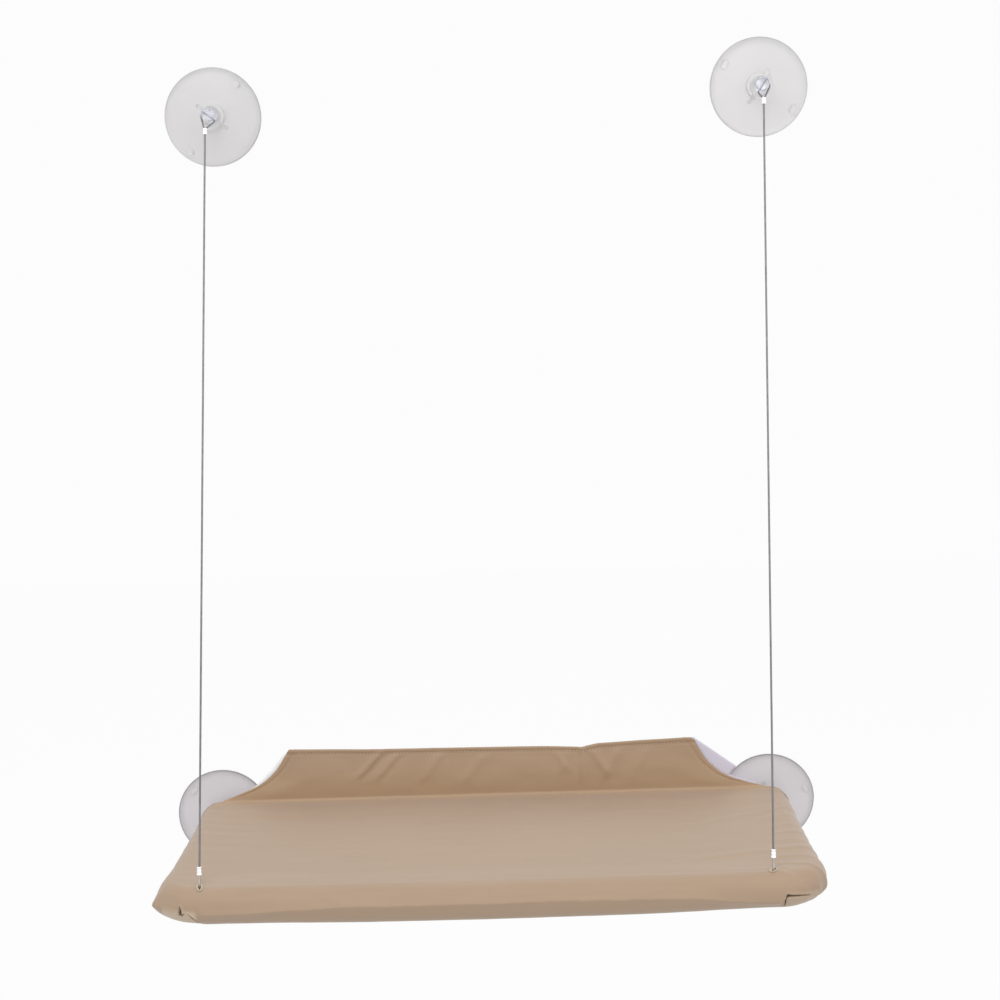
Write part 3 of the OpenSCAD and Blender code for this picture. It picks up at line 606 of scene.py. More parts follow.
def on_frame(a, b):
    """Where a point of the flat cover lies on the frame, and the way it faces."""
    start, even_from = between(rear_cut, abs(a)), 60
    flat_b = start + b * (even_from - start) / even_from if b < even_from else b
    near = 1 - rise(238, 247, abs(a))
    drop = between(ridge_drop, a) + 0.6 * uneven(a / 9, 7.7, 0)
    b = flat_b + near * drop * max(0.0, 1 - abs(flat_b - ridge_b) / 14)
    side, up = math.copysign(1, a), Vector((0, 0, 1))
    past_x, past_y = max(0.0, abs(a) - arc_x), max(0.0, b - (arc_y - crease_y))
    reach = max(past_x, past_y)
    if reach == 0:
        turn = 0.0
    elif past_y >= past_x:
        turn = math.pi / 4 * past_x / past_y
    else:
        turn = math.pi / 2 - math.pi / 4 * past_y / past_x
    out = Vector((side * math.sin(turn), -math.cos(turn), 0))
    centre = Vector((max(-arc_x, min(arc_x, a)), -min(b + crease_y, arc_y), top_z))
    angle = (reach - bend) / roll
    if angle <= 0:
        place, face = centre + reach * out, up
    elif angle <= math.pi:
        face = math.sin(angle) * out + math.cos(angle) * up
        place = centre + bend * out - roll * up + roll * face
    else:
        place, face = centre + (2 * bend - reach + half_turn) * out - 2 * roll * up, -up
    # The top hangs a little between the tubes
    y, lift = -place.y, 0.0
    if angle <= 0:
        from_tubes = rise(0, 34, side_x - abs(place.x)) * rise(0, 34, front_y - y) * rise(0, 26, y - rear_y)
        lift = -1.7 * from_tubes
    # Pull folds, slits and the cloth's own unevenness
    lift += fold_lift(a, flat_b) * (angle < 2.4) + slit_lift(a, flat_b)[0]
    lift += 0.28 * uneven(a / 70, b / 42, 0.3)
    lift += 0.12 * uneven(a / 17, b / 13, 4.1)
    # Pressed ridge along the front, and the soft edge above it
    if past_y > past_x and angle > 0:
        peak = 2.0 + 0.5 * uneven(a / 21, 3.7, 0)
        flat_span = math.acos(roll / (roll + peak))
        off = abs(angle - math.pi / 2 - near * drop / roll)
        if off < flat_span:
            lift += near * (roll / math.cos(flat_span - off) - roll)
    if past_y >= past_x:
        lift += 0.4 * math.exp(-abs(reach - bend) / 2.2)
    # Left corner, which stands out in a tip
    if side < 0 and 0 < angle < math.pi:
        if past_y > 0:
            soft = 0.42 if angle < 1.6 else 0.62
            lift += between(left_tip, turn) * math.exp(-abs(angle - 1.6) / soft)
        else:
            lift += 0.8 * rise(150, 195, b) * math.exp(-abs(angle - 1.6) / 0.6)
    # Right corner, which is flatter below and wavy
    if side > 0 and past_y > 0 and angle > 0:
        lift -= 0.5 * rise(0.1, 0.5, turn) * (1 - rise(0.8, 1.2, turn)) * rise(1.9, 2.3, angle)
        lift += 0.9 * math.sin(17 * turn) * rise(0.5, 0.9, turn) * math.exp(-abs(angle - 1.8) / 0.6)
    # Sides, drawn in midway, with the front's tuck under their own
    if past_x > past_y and angle > 0:
        lift -= 1.2 * hump(angle, 1.0, 0.7) * rise(30, 70, b) * (1 - rise(150, 185, b))
    if angle > math.pi and past_x > past_y:
        lift += 1.1
    # Rear corners and crease, which stay clear of the lower cups and the backing
    lift += 0.5 * rise(238, 252, abs(a)) * (1 - rise(3, 14, flat_b))
    place = place + lift * face
    place.y -= crease_ahead * (1 - rise(2, 34, flat_b))
    # Loose cloth before and below the front tube
    if past_y > past_x:
        loose = sum(between(front_slack, a + aside) for aside in (-14, 0, 14)) / 3 * near
        loose *= 1 - rise(math.pi, math.pi + 2.4, angle)
        place.y -= 4.0 * loose * rise(-1.3, 0.9, angle)
        place.z -= 1.6 * loose * rise(1.1, 2.3, angle)
    return place, face


def flap_ends(h):
    """Places across of the flap's left and right end at a share of its height."""
    left = -(flap_left + (crease_half - flap_left) * between(flare["left"], h))
    right = flap_right + (crease_half - flap_right) * between(flare["right"], h)
    return left, right


def on_flap(a, b):
    """Where a point of the upright flap lies, and the way it faces."""
    across = (a + crease_half) / (2 * crease_half)
    h = min(1.0, -b / flap_h)
    left, right = flap_ends(h)
    x = left + across * (right - left)
    tall = flap_h * between(hem_line, across)
    z = top_z + h * tall
    from_side, from_top = min(x - left, right - x), (1 - h) * tall
    bulge = 2.3 * math.sin(math.pi * min(1, h / 0.85)) * rise(0, 40, from_side)
    side_seam = hump(from_side, side_hem, 1.0) * rise(0.06, 0.16, h) * (from_top > top_hem - 1)
    sew = 0.75 * max(hump(from_top, top_hem, 0.9), side_seam)
    hem = 0.4 * (1 - rise(top_hem - 1, top_hem, from_top))
    hem += 0.3 * (1 - rise(side_hem - 1, side_hem, from_side)) * rise(0.1, 0.2, h)
    pulled = 0.0
    for place, high, wide, slant, low, end in flap_folds:
        shown = rise(low - 3, low + 4, from_top) * (1 - rise(end, end + 14, from_top))
        pulled += high * shown * hump(x + (from_top - 7) * slant, place, wide)
    wave = 0.5 * uneven(x / 33, z / 20, 2.2) + 0.2 * uneven(x / 11, z / 9, 8.2)
    forward = crease_y + crease_ahead + bulge + hem - sew + pulled + wave * rise(0.02, 0.3, h)
    return Vector((x, -forward, z)), Vector((0, -1, 0))


def cloth_place(a, b):
    """Where any point of the flat cloth lies, with the crease rounded."""
    if b >= fillet:
        return on_frame(a, b)
    if b <= -fillet:
        return on_flap(a, b)
    seat_face, flap_face = on_frame(a, max(b, 0.0))[1], on_flap(a, min(b, 0.0))[1]
    turn = (1 - b / fillet) * math.pi / 4
    corner = on_frame(a, 0.0)[0]
    ahead, above = on_frame(a, fillet)[0] - corner, on_flap(a, -fillet)[0] - corner
    place = corner + ahead * (1 - math.sin(turn)) + above * (1 - math.cos(turn))
    return place, (math.cos(turn) * seat_face + math.sin(turn) * flap_face).normalized()


def grid_lines(stops):
    """Places of grid lines between stops, each stop with the step before it."""
    lines = [stops[0][0]]
    for (low, _), (high, step) in zip(stops, stops[1:]):
        count = max(1, round((high - low) / step))
        lines += [low + (high - low) * k / count for k in range(1, count + 1)]
    return lines


across = [(0, 0), (218, 3.2), (arc_x, 2.2), (crease_half, 1.9), (arc_x + bend, 1), (edge_a, 1.6)]
across = grid_lines(across + [(edge_a + side_tuck, 5)])
across = [-x for x in reversed(across[1:])] + across
over = [x for x in across if abs(x) <= crease_half]
along = [(0, 0), (6, 1), (180, 3), (edge_b - half_turn, 1.8), (ridge_b - 1, 1.5), (ridge_b, 1)]
along = grid_lines(along + [(ridge_b + 1, 1), (edge_b, 1.5), (edge_b + front_tuck, 5)])
upward = [-x for x in reversed(grid_lines([(0, 0), (6, 1), (flap_h, 1.5)]))]


def flat_grid(shape, columns, rows):
    """Adds a grid of flat cloth with lines at these places, and gives its points."""
    nx, ny = len(columns) - 1, len(rows) - 1
    made = bmesh.ops.create_grid(shape, x_segments=nx, y_segments=ny, size=1)["verts"]
    for v in made:
        v.co.x = columns[round((v.co.x + 1) / 2 * nx)]
        v.co.y = rows[round((v.co.y + 1) / 2 * ny)]
    return made


cloth = bmesh.new()
flat_grid(cloth, across, along)
flat_grid(cloth, over, upward)
bmesh.ops.remove_doubles(cloth, verts=cloth.verts, dist=0.01)
# Mitred corners of the tuck, where the real cloth is folded away
mitre = 14
cut_off = []
for face in cloth.faces:
    middle = face.calc_center_median()
    past_x, past_y = abs(middle.x) - arc_x, middle.y - (arc_y - crease_y)
    if past_x > 0 and past_y > 0 and max(past_x, past_y) > bend + half_turn + mitre:
        cut_off.append(face)
bmesh.ops.delete(cloth, geom=cut_off, context="FACES")
# Buttonholes for the cables' eyes
hole_wide, hole_deep, hole_slant = 1.9, {"left": 5.2, "right": 3.3}, {"left": 0.27, "right": -0.5}
hole_ahead, hole_aside = {"left": 3.6, "right": 1.7}, {"left": 0.513, "right": 0.0}
holes = {}
for s in sides:
    at = foot[s] + (top_z - 0.5 - tube_z) / up_line[s].z * up_line[s]
    holes[s] = Vector((at.x + hole_aside[s], -at.y - crease_y + hole_ahead[s], 0))


def from_hole(point):
    """Distance from the nearer buttonhole's middle, where its edge is at 1."""
    shares = []
    for s in sides:
        x, y = point.x - holes[s].x, point.y - holes[s].y
        shares.append(math.hypot((x - hole_slant[s] * y) / hole_wide, y / hole_deep[s]))
    return min(shares)


def from_slit(point):
    """Distance from the nearest slit's middle line."""
    lines = ([p[:2] for p in slit[0]] for slit in slits_near(point.x, point.y))
    return min((nearest(line, abs(point.x), point.y)[0] for line in lines), default=math.inf)


for turn in range(2):
    close = [
        e
        for e in cloth.edges
        if from_hole(e.verts[0].co) < 3 - turn or from_slit(e.verts[0].co) < 5.5 - 1.7 * turn
    ]
    bmesh.ops.subdivide_edges(cloth, edges=close, cuts=1, use_grid_fill=True)
holed = [f for f in cloth.faces if from_hole(f.calc_center_median()) < 1]
bmesh.ops.delete(cloth, geom=holed, context="FACES")
cloth_area = sum(f.calc_area() for f in cloth.faces)
flat_place = cloth.verts.layers.float_vector.new("flat")
shade_place, gusset_light_layer = (cloth.verts.layers.float.new(name) for name in ("slit", "painted_gusset_light"))
for v in cloth.verts:
    a, b = v.co.x, v.co.y
    v[flat_place] = v.co * mm
    # How far inside a slit, for the painted shade there
    v[shade_place] = slit_lift(a, b)[1]
    # Painted light: the folded-out gussets at the front corners are lighter, the right one less, for the
    # light they catch.
    gusset = rise(244, 250, abs(a)) * rise(234, 239, b) * (1 - rise(300, 310, abs(a)))
    v[gusset_light_layer] = gusset * (0.45 if a > 0 else 1)
    v.co = cloth_place(a, b)[0]
face_outwards(cloth)
top_face = min(cloth.faces, key=lambda f: (f.calc_center_median() - Vector((0, -120, 16))).length)
if top_face.normal.z < 0:
    bmesh.ops.reverse_faces(cloth, faces=cloth.faces)

twill = Finish("tan_twill", Sheen_Weight=0.35, Sheen_Roughness=0.45, Specular_IOR_Level=0.45)
tan, tan_light, tan_dark = (0.395, 0.275, 0.183), (0.445, 0.318, 0.219), (0.353, 0.242, 0.156)
on_cloth = twill.place(attribute="flat")
split_x, split_y = (
    twill.node("ShaderNodeSeparateXYZ", {}, {"Vector": on_cloth}, way) for way in "XY"
)
thread = math.tau / 0.00062
slanted, level = (split_x + split_y * 0.5) * thread, split_y * thread
weave = 0.5 + 0.25 * slanted.maths("SINE", slanted) + 0.25 * level.maths("SINE", level)
cloud = twill.grain(9.0, 4.0, on_cloth)
streak = twill.grain(1.0, 3.0, twill.place((14, 160, 1), "flat"))
nap = twill.grain(1600.0, 2.0, on_cloth)
shade = twill.blend((0.55 * cloud + 0.45 * streak).bounded(), tan_dark, tan_light)
shade = twill.blend((0.22 * nap).bounded(), shade, tan)
slit_painted_shade, gusset_light_share = (
    twill.node("ShaderNodeAttribute", {"attribute_name": name}, {}, "Fac") for name in ("slit", "painted_gusset_light")
)
# Painted light on the flap: a warmer tan than the seat, standing in for the seat's sheen, and lighter near
# the crease, against the shade there.
flap_painted_light = twill.blend((-24.0 * split_y + 0.3 * nap).bounded(), (0.515, 0.35, 0.198), (0.42, 0.287, 0.18))
shade = twill.blend((0.34 - 26.0 * split_y).bounded(0, 0.62), shade, flap_painted_light)
# Painted light on the gussets: a paler tan.
shade = twill.blend(gusset_light_share, shade, twill.blend(nap, (0.5, 0.385, 0.27), (0.57, 0.45, 0.325)))
# Painted shade: the cloth is darkened almost to black inside the slits.
shade = twill.blend(0.9 * slit_painted_shade, shade, (0.03, 0.019, 0.012))
twill.feed(
    Base_Color=shade,
    Roughness=0.52 + 0.2 * cloud,
    Normal=twill.relief(weave + 0.6 * nap, 0.16, 0.0003, twill.relief(streak, 0.12, 0.0006)),
)
# Lockstitches of the flap's hems and of the tucks underneath, and the thread that
# is wrapped round the two buttonholes
thread_finish = Finish("tan_thread", Sheen_Weight=0.3, Specular_IOR_Level=0.4)
laid_along = {"Vector": thread_finish.place(), "Scale": 1900.0}
ply = thread_finish.node("ShaderNodeTexWave", {"bands_direction": "DIAGONAL"}, laid_along, "Fac")
thread_finish.feed(
    Base_Color=thread_finish.blend(ply, (0.5, 0.385, 0.265), (0.74, 0.61, 0.46)),
    Roughness=0.45 + 0.2 * ply,
)


def add_stitch(shape, middle, axes):
    """Adds one turn of thread, a ball drawn out along three half axes."""
    made = bmesh.ops.create_uvsphere(shape, u_segments=8, v_segments=5, radius=1)["verts"]
    placed = Matrix.Translation(middle) @ Matrix(axes).transposed().to_4x4()
    bmesh.ops.transform(shape, matrix=placed, verts=made)


def sewn(name, seams, outwards):
    """Row of stitches along each seam, a line of points, facing outwards."""
    shape, pitch, half_wide, half_high, half_long = bmesh.new(), 3.3, 0.42, 0.3, 1.1
    for seam in seams:
        points = evenly(seam, pitch)
        for start, end in zip(points, points[1:]):
            way = (end - start).normalized()
            aside = outwards.cross(way).normalized()
            axes = (aside * half_wide, way.cross(aside) * half_high, way * half_long)
            add_stitch(shape, start.lerp(end, 0.5), axes)
    face_outwards(shape)
    return piece_of(name, shape, thread_finish)


def flap_point(x, h):
    """Place on the flap for a distance across and a share of its height."""
    left, right = flap_ends(h)
    return on_flap(((x - left) / (right - left) * 2 - 1) * crease_half, -h * flap_h)[0]


top_seam = [flap_point(x, 1 - top_hem / flap_h) for x in range(-190, 184, 3)]
seam_shares = [0.13 + 0.03 * k for k in range(25)]
left_seam = [flap_point(flap_ends(h)[0] + side_hem, h) for h in seam_shares]
right_seam = [flap_point(flap_ends(h)[1] - side_hem, h) for h in seam_shares]
flap_stitches = sewn("flap_stitches", [top_seam, left_seam, right_seam], Vector((0, -1, 0)))
under = top_z - 2 * roll - 0.15
tuck_front, tuck_side = arc_y - front_tuck + bend + 8, arc_x - side_tuck + bend + 8
under_seams = [[Vector((x, -tuck_front, under)) for x in range(-200, 201, 4)]]
for x in (-tuck_side, tuck_side):
    under_seams.append([Vector((x, -y, under - 1.1)) for y in range(66, int(tuck_front) - 6, 4)])
tuck_stitches = sewn("tuck_stitches", under_seams, Vector((0, 0, -1)))

wrapped, wraps, wrap_out = bmesh.new(), 44, 0.8
for s in sides:
    lip = []
    for k in range(wraps):
        turn = math.tau * k / wraps
        y = (hole_deep[s] + wrap_out) * math.sin(turn)
        x = (hole_wide + wrap_out) * math.cos(turn) + hole_slant[s] * y
        lip.append(on_frame(holes[s].x + x, holes[s].y + y)[0])
    for k in range(wraps):
        way = (lip[(k + 1) % wraps] - lip[k - 1]).normalized()
        aside = Vector((0, 0, 1)).cross(way).normalized()
        axes = (way * 0.3, aside * 1.25, Vector((0, 0, 0.6)))
        add_stitch(wrapped, lip[k] + Vector((0, 0, 0.25)), axes)
face_outwards(wrapped)
pale_tones = ((0.46, 0.365, 0.25), (0.6, 0.49, 0.36))
pale_thread = mottled(
    "pale_thread", pale_tones, (2500.0, 2.0), (0.4, 0.25), Sheen_Weight=0.3, Specular_IOR_Level=0.4
)
wrapped = piece_of("buttonhole_threads", wrapped, pale_thread)
# Painted shade: a dark disc under each buttonhole, standing in for the shade inside the hole.
hole_shade_disc = bmesh.new()
for s in sides:
    made = bmesh.ops.create_circle(hole_shade_disc, cap_ends=True, cap_tris=True, segments=32, radius=1)["verts"]
    for v in made:
        x, y = v.co.x * (hole_wide + 1.2), v.co.y * (hole_deep[s] + 1.2)
        place, face = on_frame(holes[s].x + x + hole_slant[s] * y, holes[s].y + y)
        v.co = place - 1.15 * face
face_outwards(hole_shade_disc)
hole_shade_tones = ((0.03, 0.021, 0.015), (0.08, 0.058, 0.042))
painted_hole_shade = mottled("painted_hole_shade", hole_shade_tones, (1500.0, 2.0), (0.8, 0.15))
hole_shade_disc = piece_of("buttonhole_shade_discs", hole_shade_disc, painted_hole_shade)
for sewing, body in ((flap_stitches, "flap"), (tuck_stitches, "seat"), (wrapped, "seat"), (hole_shade_disc, "seat")):
    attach(sewing, body)

cover = piece_of("cover_cloth", cloth, twill)
thick = cover.modifiers.new("cloth_thickness", "SOLIDIFY")
thick.thickness, thick.offset = 1.0 * mm, -1
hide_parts("seat_cover", "back_flap")
cloth_area * mm * mm
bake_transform(cover)

# --- Backing of the flap --------------------------------------------------
# White spunbonded sheet, 0.7 mm thick, sewn behind the flap. It shows beyond the
# slanted ends of the flap, more of it on the right.
backing_front_y, backing_base_z = -15.2, 17.8
backing_edge = {
    "left": [(17.8, 236), (30, 236), (33, 232), (40, 224.5), (48, 216), (60, 206), (67, 198.5)],
    "right": [(17.8, 256), (20.5, 256), (22.5, 251), (25.2, 243.4), (26.8, 237), (29.2, 231), (30.3, 230.4)]
    + [(37.8, 236.2), (67, 195.3)],
}


def backing_place(u, h):
    """Where a point of the backing lies, by its shares across and up."""
    flat_z = backing_base_z + h * (top_z + flap_h - backing_base_z)
    left, right = -between(backing_edge["left"], flat_z), between(backing_edge["right"], flat_z)
    x = left + u * (right - left)
    share = min(1, max(0, (x + flap_left) / (flap_left + flap_right)))
    top = top_z + flap_h * between(hem_line, share) - 0.8
    z = backing_base_z + h * (top - backing_base_z)
    wave = 0.25 * uneven(x / 45, z / 30, 6.6) * rise(0, 0.2, h)
    return Vector((x, backing_front_y + 0.3 + wave, z))


backing, backing_rows = bmesh.new(), 48
flat_grid(backing, [k / 130 for k in range(131)], [k / backing_rows for k in range(backing_rows + 1)])
backing_high = top_z + flap_h - backing_base_z
backing_area = sum(
    sum(between(backing_edge[s], backing_base_z + (k + 0.5) * backing_high / backing_rows) for s in sides)
    for k in range(backing_rows)
) * backing_high / backing_rows
flat_place = backing.verts.layers.float_vector.new("flat")
for v in backing.verts:
    v.co = backing_place(v.co.x, v.co.y)
    v[flat_place] = Vector((v.co.x, v.co.z, 0)) * mm
face_outwards(backing)
spunbond = Finish("white_spunbond", Sheen_Weight=0.15)
fibre = spunbond.grain(900.0, 3.0, spunbond.place((1, 0.6, 1), "flat"))
on_sheet = spunbond.place(attribute="flat")
dots = spunbond.node("ShaderNodeTexVoronoi", {}, {"Vector": on_sheet, "Scale": 420.0}, "Distance")
sheet_x = spunbond.node("ShaderNodeSeparateXYZ", {}, {"Vector": on_sheet}, "X")
shaded_end = (9.0 * sheet_x - 0.8).bounded()
white = spunbond.blend(fibre, (0.88, 0.88, 0.9), (0.95, 0.95, 0.96))
spunbond.feed(
    Base_Color=spunbond.blend(shaded_end, white, (0.66, 0.63, 0.73)),
    Roughness=0.62 + 0.25 * fibre,
    Normal=spunbond.relief(dots + 0.5 * fibre, 0.25, 0.0003),
)
backing = piece_of("flap_backing_sheet", backing, spunbond)
thick = backing.modifiers.new("sheet_thickness", "SOLIDIFY")
thick.thickness, thick.offset = 0.7 * mm, 0
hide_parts("flap_backing")
backing_area * mm * mm
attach(backing, "flap")

# --- Hook and loop patches ------------------------------------------------
# Two black strips sewn under each front corner, which hold the tucked cloth. The
# loop side is a low, uneven pile inside a woven border.
strip_long, strip_wide = 40, 12.5
strips = bmesh.new()
for x in (-207.5, 207.5):
    for y in (-214, -184):
        for v in bmesh.ops.create_grid(strips, x_segments=60, y_segments=20, size=0.5)["verts"]:
            edge = min(0.5 - abs(v.co.x), (0.5 - abs(v.co.y)) * strip_wide / strip_long) * strip_long
            pile = rise(1.4, 2.2, edge) * (0.5 + 0.5 * uneven(v.co.x * 31 + x, v.co.y * 11, y))
            v.co = Vector((x + v.co.x * strip_long, y + v.co.y * strip_wide, -13.6 - 0.9 * pile))
face_outwards(strips)
if max(strips.faces, key=lambda f: f.calc_area()).normal.z > 0:
    bmesh.ops.reverse_faces(strips, faces=strips.faces)
bmesh.ops.solidify(strips, geom=strips.faces, thickness=0.55)
pile_tones = ((0.012, 0.012, 0.013), (0.05, 0.048, 0.046))
strip_pile = mottled(
    "black_pile", pile_tones, (1300.0,), (0.7, 0.25), relief=(None, 0.6, 0.0005), Sheen_Weight=0.3
)
strips = piece_of("grip_strips", strips, strip_pile)
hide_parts("grip_patches")
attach(strips, "seat")

# --- Suction cups ---------------------------------------------------------
# Four clear soft PVC cups, moulded in one with a boss ring, a headed post with a
# hole across it and two pull tabs. Frosted all over, with a thicker rim in painted shade.
cup_r, post_across, boss_top = 45, 17, 9.5
tab_r, tab_half, tab_high, tab_base = 2.3, 2.2, 3.0, 1.05
rounded = {"profile": 0.5, "affect": "EDGES", "material": -1}
cup_places = {
    "upper_left": (-239, 673, -38),
    "upper_right": (267, 682, 56),
    "lower_left": (-269, 0, 48),
    "lower_right": (269, 0, -75),
}


def carved(shape, tool, operation):
    """A closed shape with another one added to it or cut from it."""
    pair = []
    for name, part in (("carved_body", shape), ("carving_tool", tool)):
        mesh = bpy.data.meshes.new(name)
        part.to_mesh(mesh)
        part.free()
        pair.append(bpy.data.objects.new(name, mesh))
        bpy.context.scene.collection.objects.link(pair[-1])
    body, other = pair
    step = body.modifiers.new("carve", "BOOLEAN")
    step.operation, step.solver, step.object = operation, "EXACT", other
    bpy.context.view_layer.update()
    result = bmesh.new()
    result.from_object(body, bpy.context.evaluated_depsgraph_get())
    for item in pair:
        mesh = item.data
        bpy.data.objects.remove(item)
        bpy.data.meshes.remove(mesh)
    return result


def clear_pvc(name, tone, shadow):
    """Frosted clear plastic with a tone of its own and a rim darkened by painted shade."""
    finish = Finish(name, IOR=1.46, Transmission_Weight=0.62)
    frost, veil = finish.grain(260.0, 3.0), finish.grain(16.0, 2.0)
    rim = finish.node("ShaderNodeAttribute", {"attribute_name": "rim"}, {}, "Fac")
    body = finish.blend(veil, tuple(0.9 * c for c in tone), tuple(1.03 * c for c in tone))
    finish.feed(
        Base_Color=finish.blend(rim, body, shadow),
        Roughness=(0.2 + 0.22 * frost + 0.08 * veil),
        Normal=finish.relief(frost, 0.08, 0.0004),
    )
    return finish


# Two copies of one finish: the lower cups' copy has darker painted shade at the rim and a lavender tint,
# painted for the shade and reflection of the seat above them.
cup_finishes = {
    "upper": clear_pvc("upper_clear_pvc", (0.77, 0.755, 0.755), (0.56, 0.55, 0.55)),
    "lower": clear_pvc("lower_clear_pvc_shaded", (0.79, 0.755, 0.77), (0.36, 0.33, 0.35)),
}
post_tones = ((0.8, 0.81, 0.88), (0.93, 0.94, 1.0))
clear_post = mottled(
    "clear_post_pvc", post_tones, (40.0, 2.0), (0.16, 0.16), IOR=1.16, Transmission_Weight=0.8
)
# Half outline, as distances from the axis and heights over the glass: the sealing
# face and rim, the dome, the boss ring and the headed post
dome = [
    (12.9 + (42.4 - 12.9) * k / 10, 4.0 - 2.62 * k / 10 + 0.34 * math.sin(math.pi * k / 10))
    for k in range(11)
]
outline = [(0, 0.8), (20, 0.7), (38, 0), (44.6, 0), (45, 0.3), (45, 1.05), (44.7, 1.36), (44.1, 1.5)]
outline += [(43.4, 1.48), (42.9, 1.4)] + dome[::-1]
outline += [(12.25, 4.25), (12, 4.9), (12, 8.9), (11.8, 9.3), (11.4, 9.5), (9.6, 9.5), (9.2, 9.3)]
outline += [(9, 8.9), (9, 4.6), (8.7, 4.15), (8.2, 4), (5.9, 4), (5.25, 4.2), (5, 4.8), (5, 20.9)]
outline += [(5.2, 21.4), (5.7, 21.6), (6.0, 21.65), (6.3, 21.9), (6.4, 22.3), (6.4, 23.3)]
outline += [(6.2, 23.75), (5.7, 24), (0, 24)]
for place, (x, z, turn) in cup_places.items():
    cup = spun(outline, 96)
    for way in (-1, 1):
        tab = bmesh.new()
        for v in bmesh.ops.create_circle(tab, segments=40, radius=tab_r)["verts"]:
            v.co.x += math.copysign(tab_half, v.co.x)
        bmesh.ops.contextual_create(tab, geom=list(tab.edges))
        grown = bmesh.ops.extrude_face_region(tab, geom=list(tab.faces))["geom"]
        bmesh.ops.translate(tab, vec=(0, 0, tab_high), verts=points_of(grown))
        face_outwards(tab)
        rim_edges = [e for e in tab.edges if all(v.co.z > tab_high - 0.1 for v in e.verts)]
        bmesh.ops.bevel(tab, geom=rim_edges, offset=0.7, segments=4, **rounded)
        bmesh.ops.translate(tab, vec=(0, way * (cup_r - 7.4), tab_base), verts=tab.verts)
        cup = carved(cup, tab, "UNION")
    for way in (-1, 1):
        gap = bmesh.new()
        bmesh.ops.create_cube(gap, size=1)
        bmesh.ops.scale(gap, vec=(11, 3.4, boss_top), verts=gap.verts)
        bmesh.ops.bevel(gap, geom=gap.edges, offset=0.4, segments=2, **rounded)
        bmesh.ops.translate(gap, vec=(way * 11.5, 0, 3.25 + boss_top / 2), verts=gap.verts)
        cup = carved(cup, gap, "DIFFERENCE")
    bore = bmesh.new()
    across_post, hole_r = Matrix.Rotation(math.pi / 2, 4, "Y"), cross_hole / 2
    bmesh.ops.create_cone(
        bore, cap_ends=True, segments=32, radius1=hole_r, radius2=hole_r, depth=24, matrix=across_post
    )
    bmesh.ops.translate(bore, vec=(0, 0, post_across), verts=bore.verts)
    cup = carved(cup, bore, "DIFFERENCE")
    bmesh.ops.remove_doubles(cup, verts=cup.verts, dist=0.002)
    # Painted shade at the outer edge of the rim.
    rim_shade = cup.verts.layers.float.new("rim")
    for v in cup.verts:
        v[rim_shade] = rise(43.6, 44.6, math.hypot(v.co.x, v.co.y))
    for face in cup.faces:
        middle = face.calc_center_median()
        face.material_index = 1 if middle.z > 5 and math.hypot(middle.x, middle.y) < 7.2 else 0
    set_up = Matrix.Rotation(math.pi / 2, 4, "X") @ Matrix.Rotation(math.radians(turn), 4, "Z")
    bmesh.ops.transform(cup, matrix=Matrix.Translation((x, 0, z)) @ set_up, verts=cup.verts)
    cup = piece_of(f"cup_{place}_moulding", cup, cup_finishes[place.split("_")[0]])
    cup.data.materials.append(clear_post.material)
    cup.data.shade_smooth()
    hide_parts(f"cup_{place}")
    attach(cup, "window_cups")

# --- Collars on the lower cups --------------------------------------------
# Split rings of translucent grey plastic that clip on the lower posts. Their two
# side pins turn in the ears of the rear corner pieces.
collar_tones = ((0.6, 0.6, 0.63), (0.74, 0.74, 0.77))
collar_relief = ((1200.0, 1.0), 0.1, 0.0002)
collar_grains = ((80.0,), (0.32, 0.2), (600.0, 2.0), collar_relief)
collar_plastic = mottled("collar_plastic", collar_tones, *collar_grains, Transmission_Weight=0.2)
dress(collar_plastic, "collar_left", "collar_right")

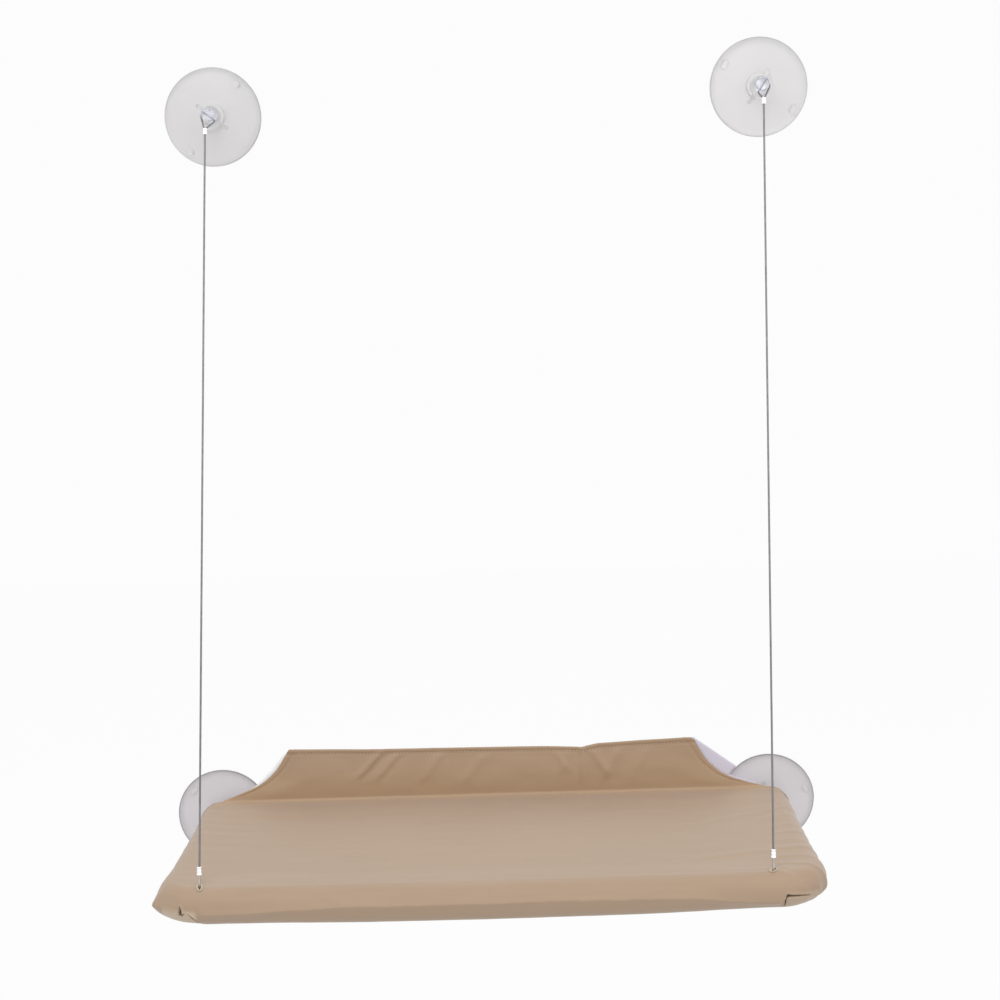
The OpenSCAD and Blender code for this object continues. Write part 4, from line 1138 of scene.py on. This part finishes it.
# --- Floor, light and background ------------------------------------------
# A plain pale floor well below the seat and a white surround. One large soft lamp
# stands above, in front and to the left, with weaker ones to the right and behind.
floor_z, floor_half = -900, 6000
floor = bmesh.new()
bmesh.ops.create_grid(floor, x_segments=2, y_segments=2, size=floor_half)
bmesh.ops.translate(floor, vec=(0, 0, floor_z), verts=floor.verts)
pale = Finish("pale_floor", Roughness=0.9)
speck = pale.grain(3.0, 2.0)
pale.feed(Base_Color=pale.blend(speck, (0.86, 0.86, 0.86), (0.9, 0.9, 0.9)))


def shown(finish):
    """1 for a ray that comes from the camera, a reflection or through the cups."""
    kinds = ("Camera", "Glossy", "Transmission")
    rays = [finish.node("ShaderNodeLightPath", {}, {}, f"Is {kind} Ray") for kind in kinds]
    return (rays[0] + rays[1] + rays[2]).bounded()


glow = pale.node("ShaderNodeEmission", {}, {"Color": (1, 1, 1, 1), "Strength": 1.0})
surface = Signal(pale, pale.shader.outputs[0])
mixed = pale.node("ShaderNodeMixShader", {}, {0: 0.93 * shown(pale), 1: surface, 2: glow})
pale.tree.links.new(mixed.socket, pale.tree.nodes["Material Output"].inputs["Surface"])
piece_of("floor", floor, pale, smooth=False)

world = bpy.data.worlds.new("studio")
bpy.context.scene.world = world
world.use_nodes = True


class Surround(Finish):
    """The world's nodes, written in the same way as a material's."""

    def __init__(self, tree):
        self.tree = tree


around = Surround(world.node_tree)
tones = around.blend(shown(around), (0.62, 0.63, 0.645), (0.975, 0.975, 0.975))
around.tree.links.new(tones.socket, around.tree.nodes["Background"].inputs["Color"])

for name, watts, wide, place, aim in (
    ("key_lamp", 34, 2.2, (-0.5, -1.7, 2.1), (0, -0.1, 0.1)),
    ("fill_lamp", 7, 1.8, (1.6, -1.2, 0.9), (0, -0.1, 0.2)),
    ("rear_lamp", 9, 2.0, (0.3, 1.6, 1.7), (0, 0, 0.2)),
):
    lamp = bpy.data.lights.new(name, "AREA")
    lamp.energy, lamp.size = watts, wide
    stand = bpy.data.objects.new(name, lamp)
    way = Vector(aim) - Vector(place)
    stand.matrix_world = Matrix.Translation(place) @ way.to_track_quat("-Z", "Y").to_matrix().to_4x4()
    bpy.context.scene.collection.objects.link(stand)

bpy.context.scene.view_settings.view_transform = "Standard"
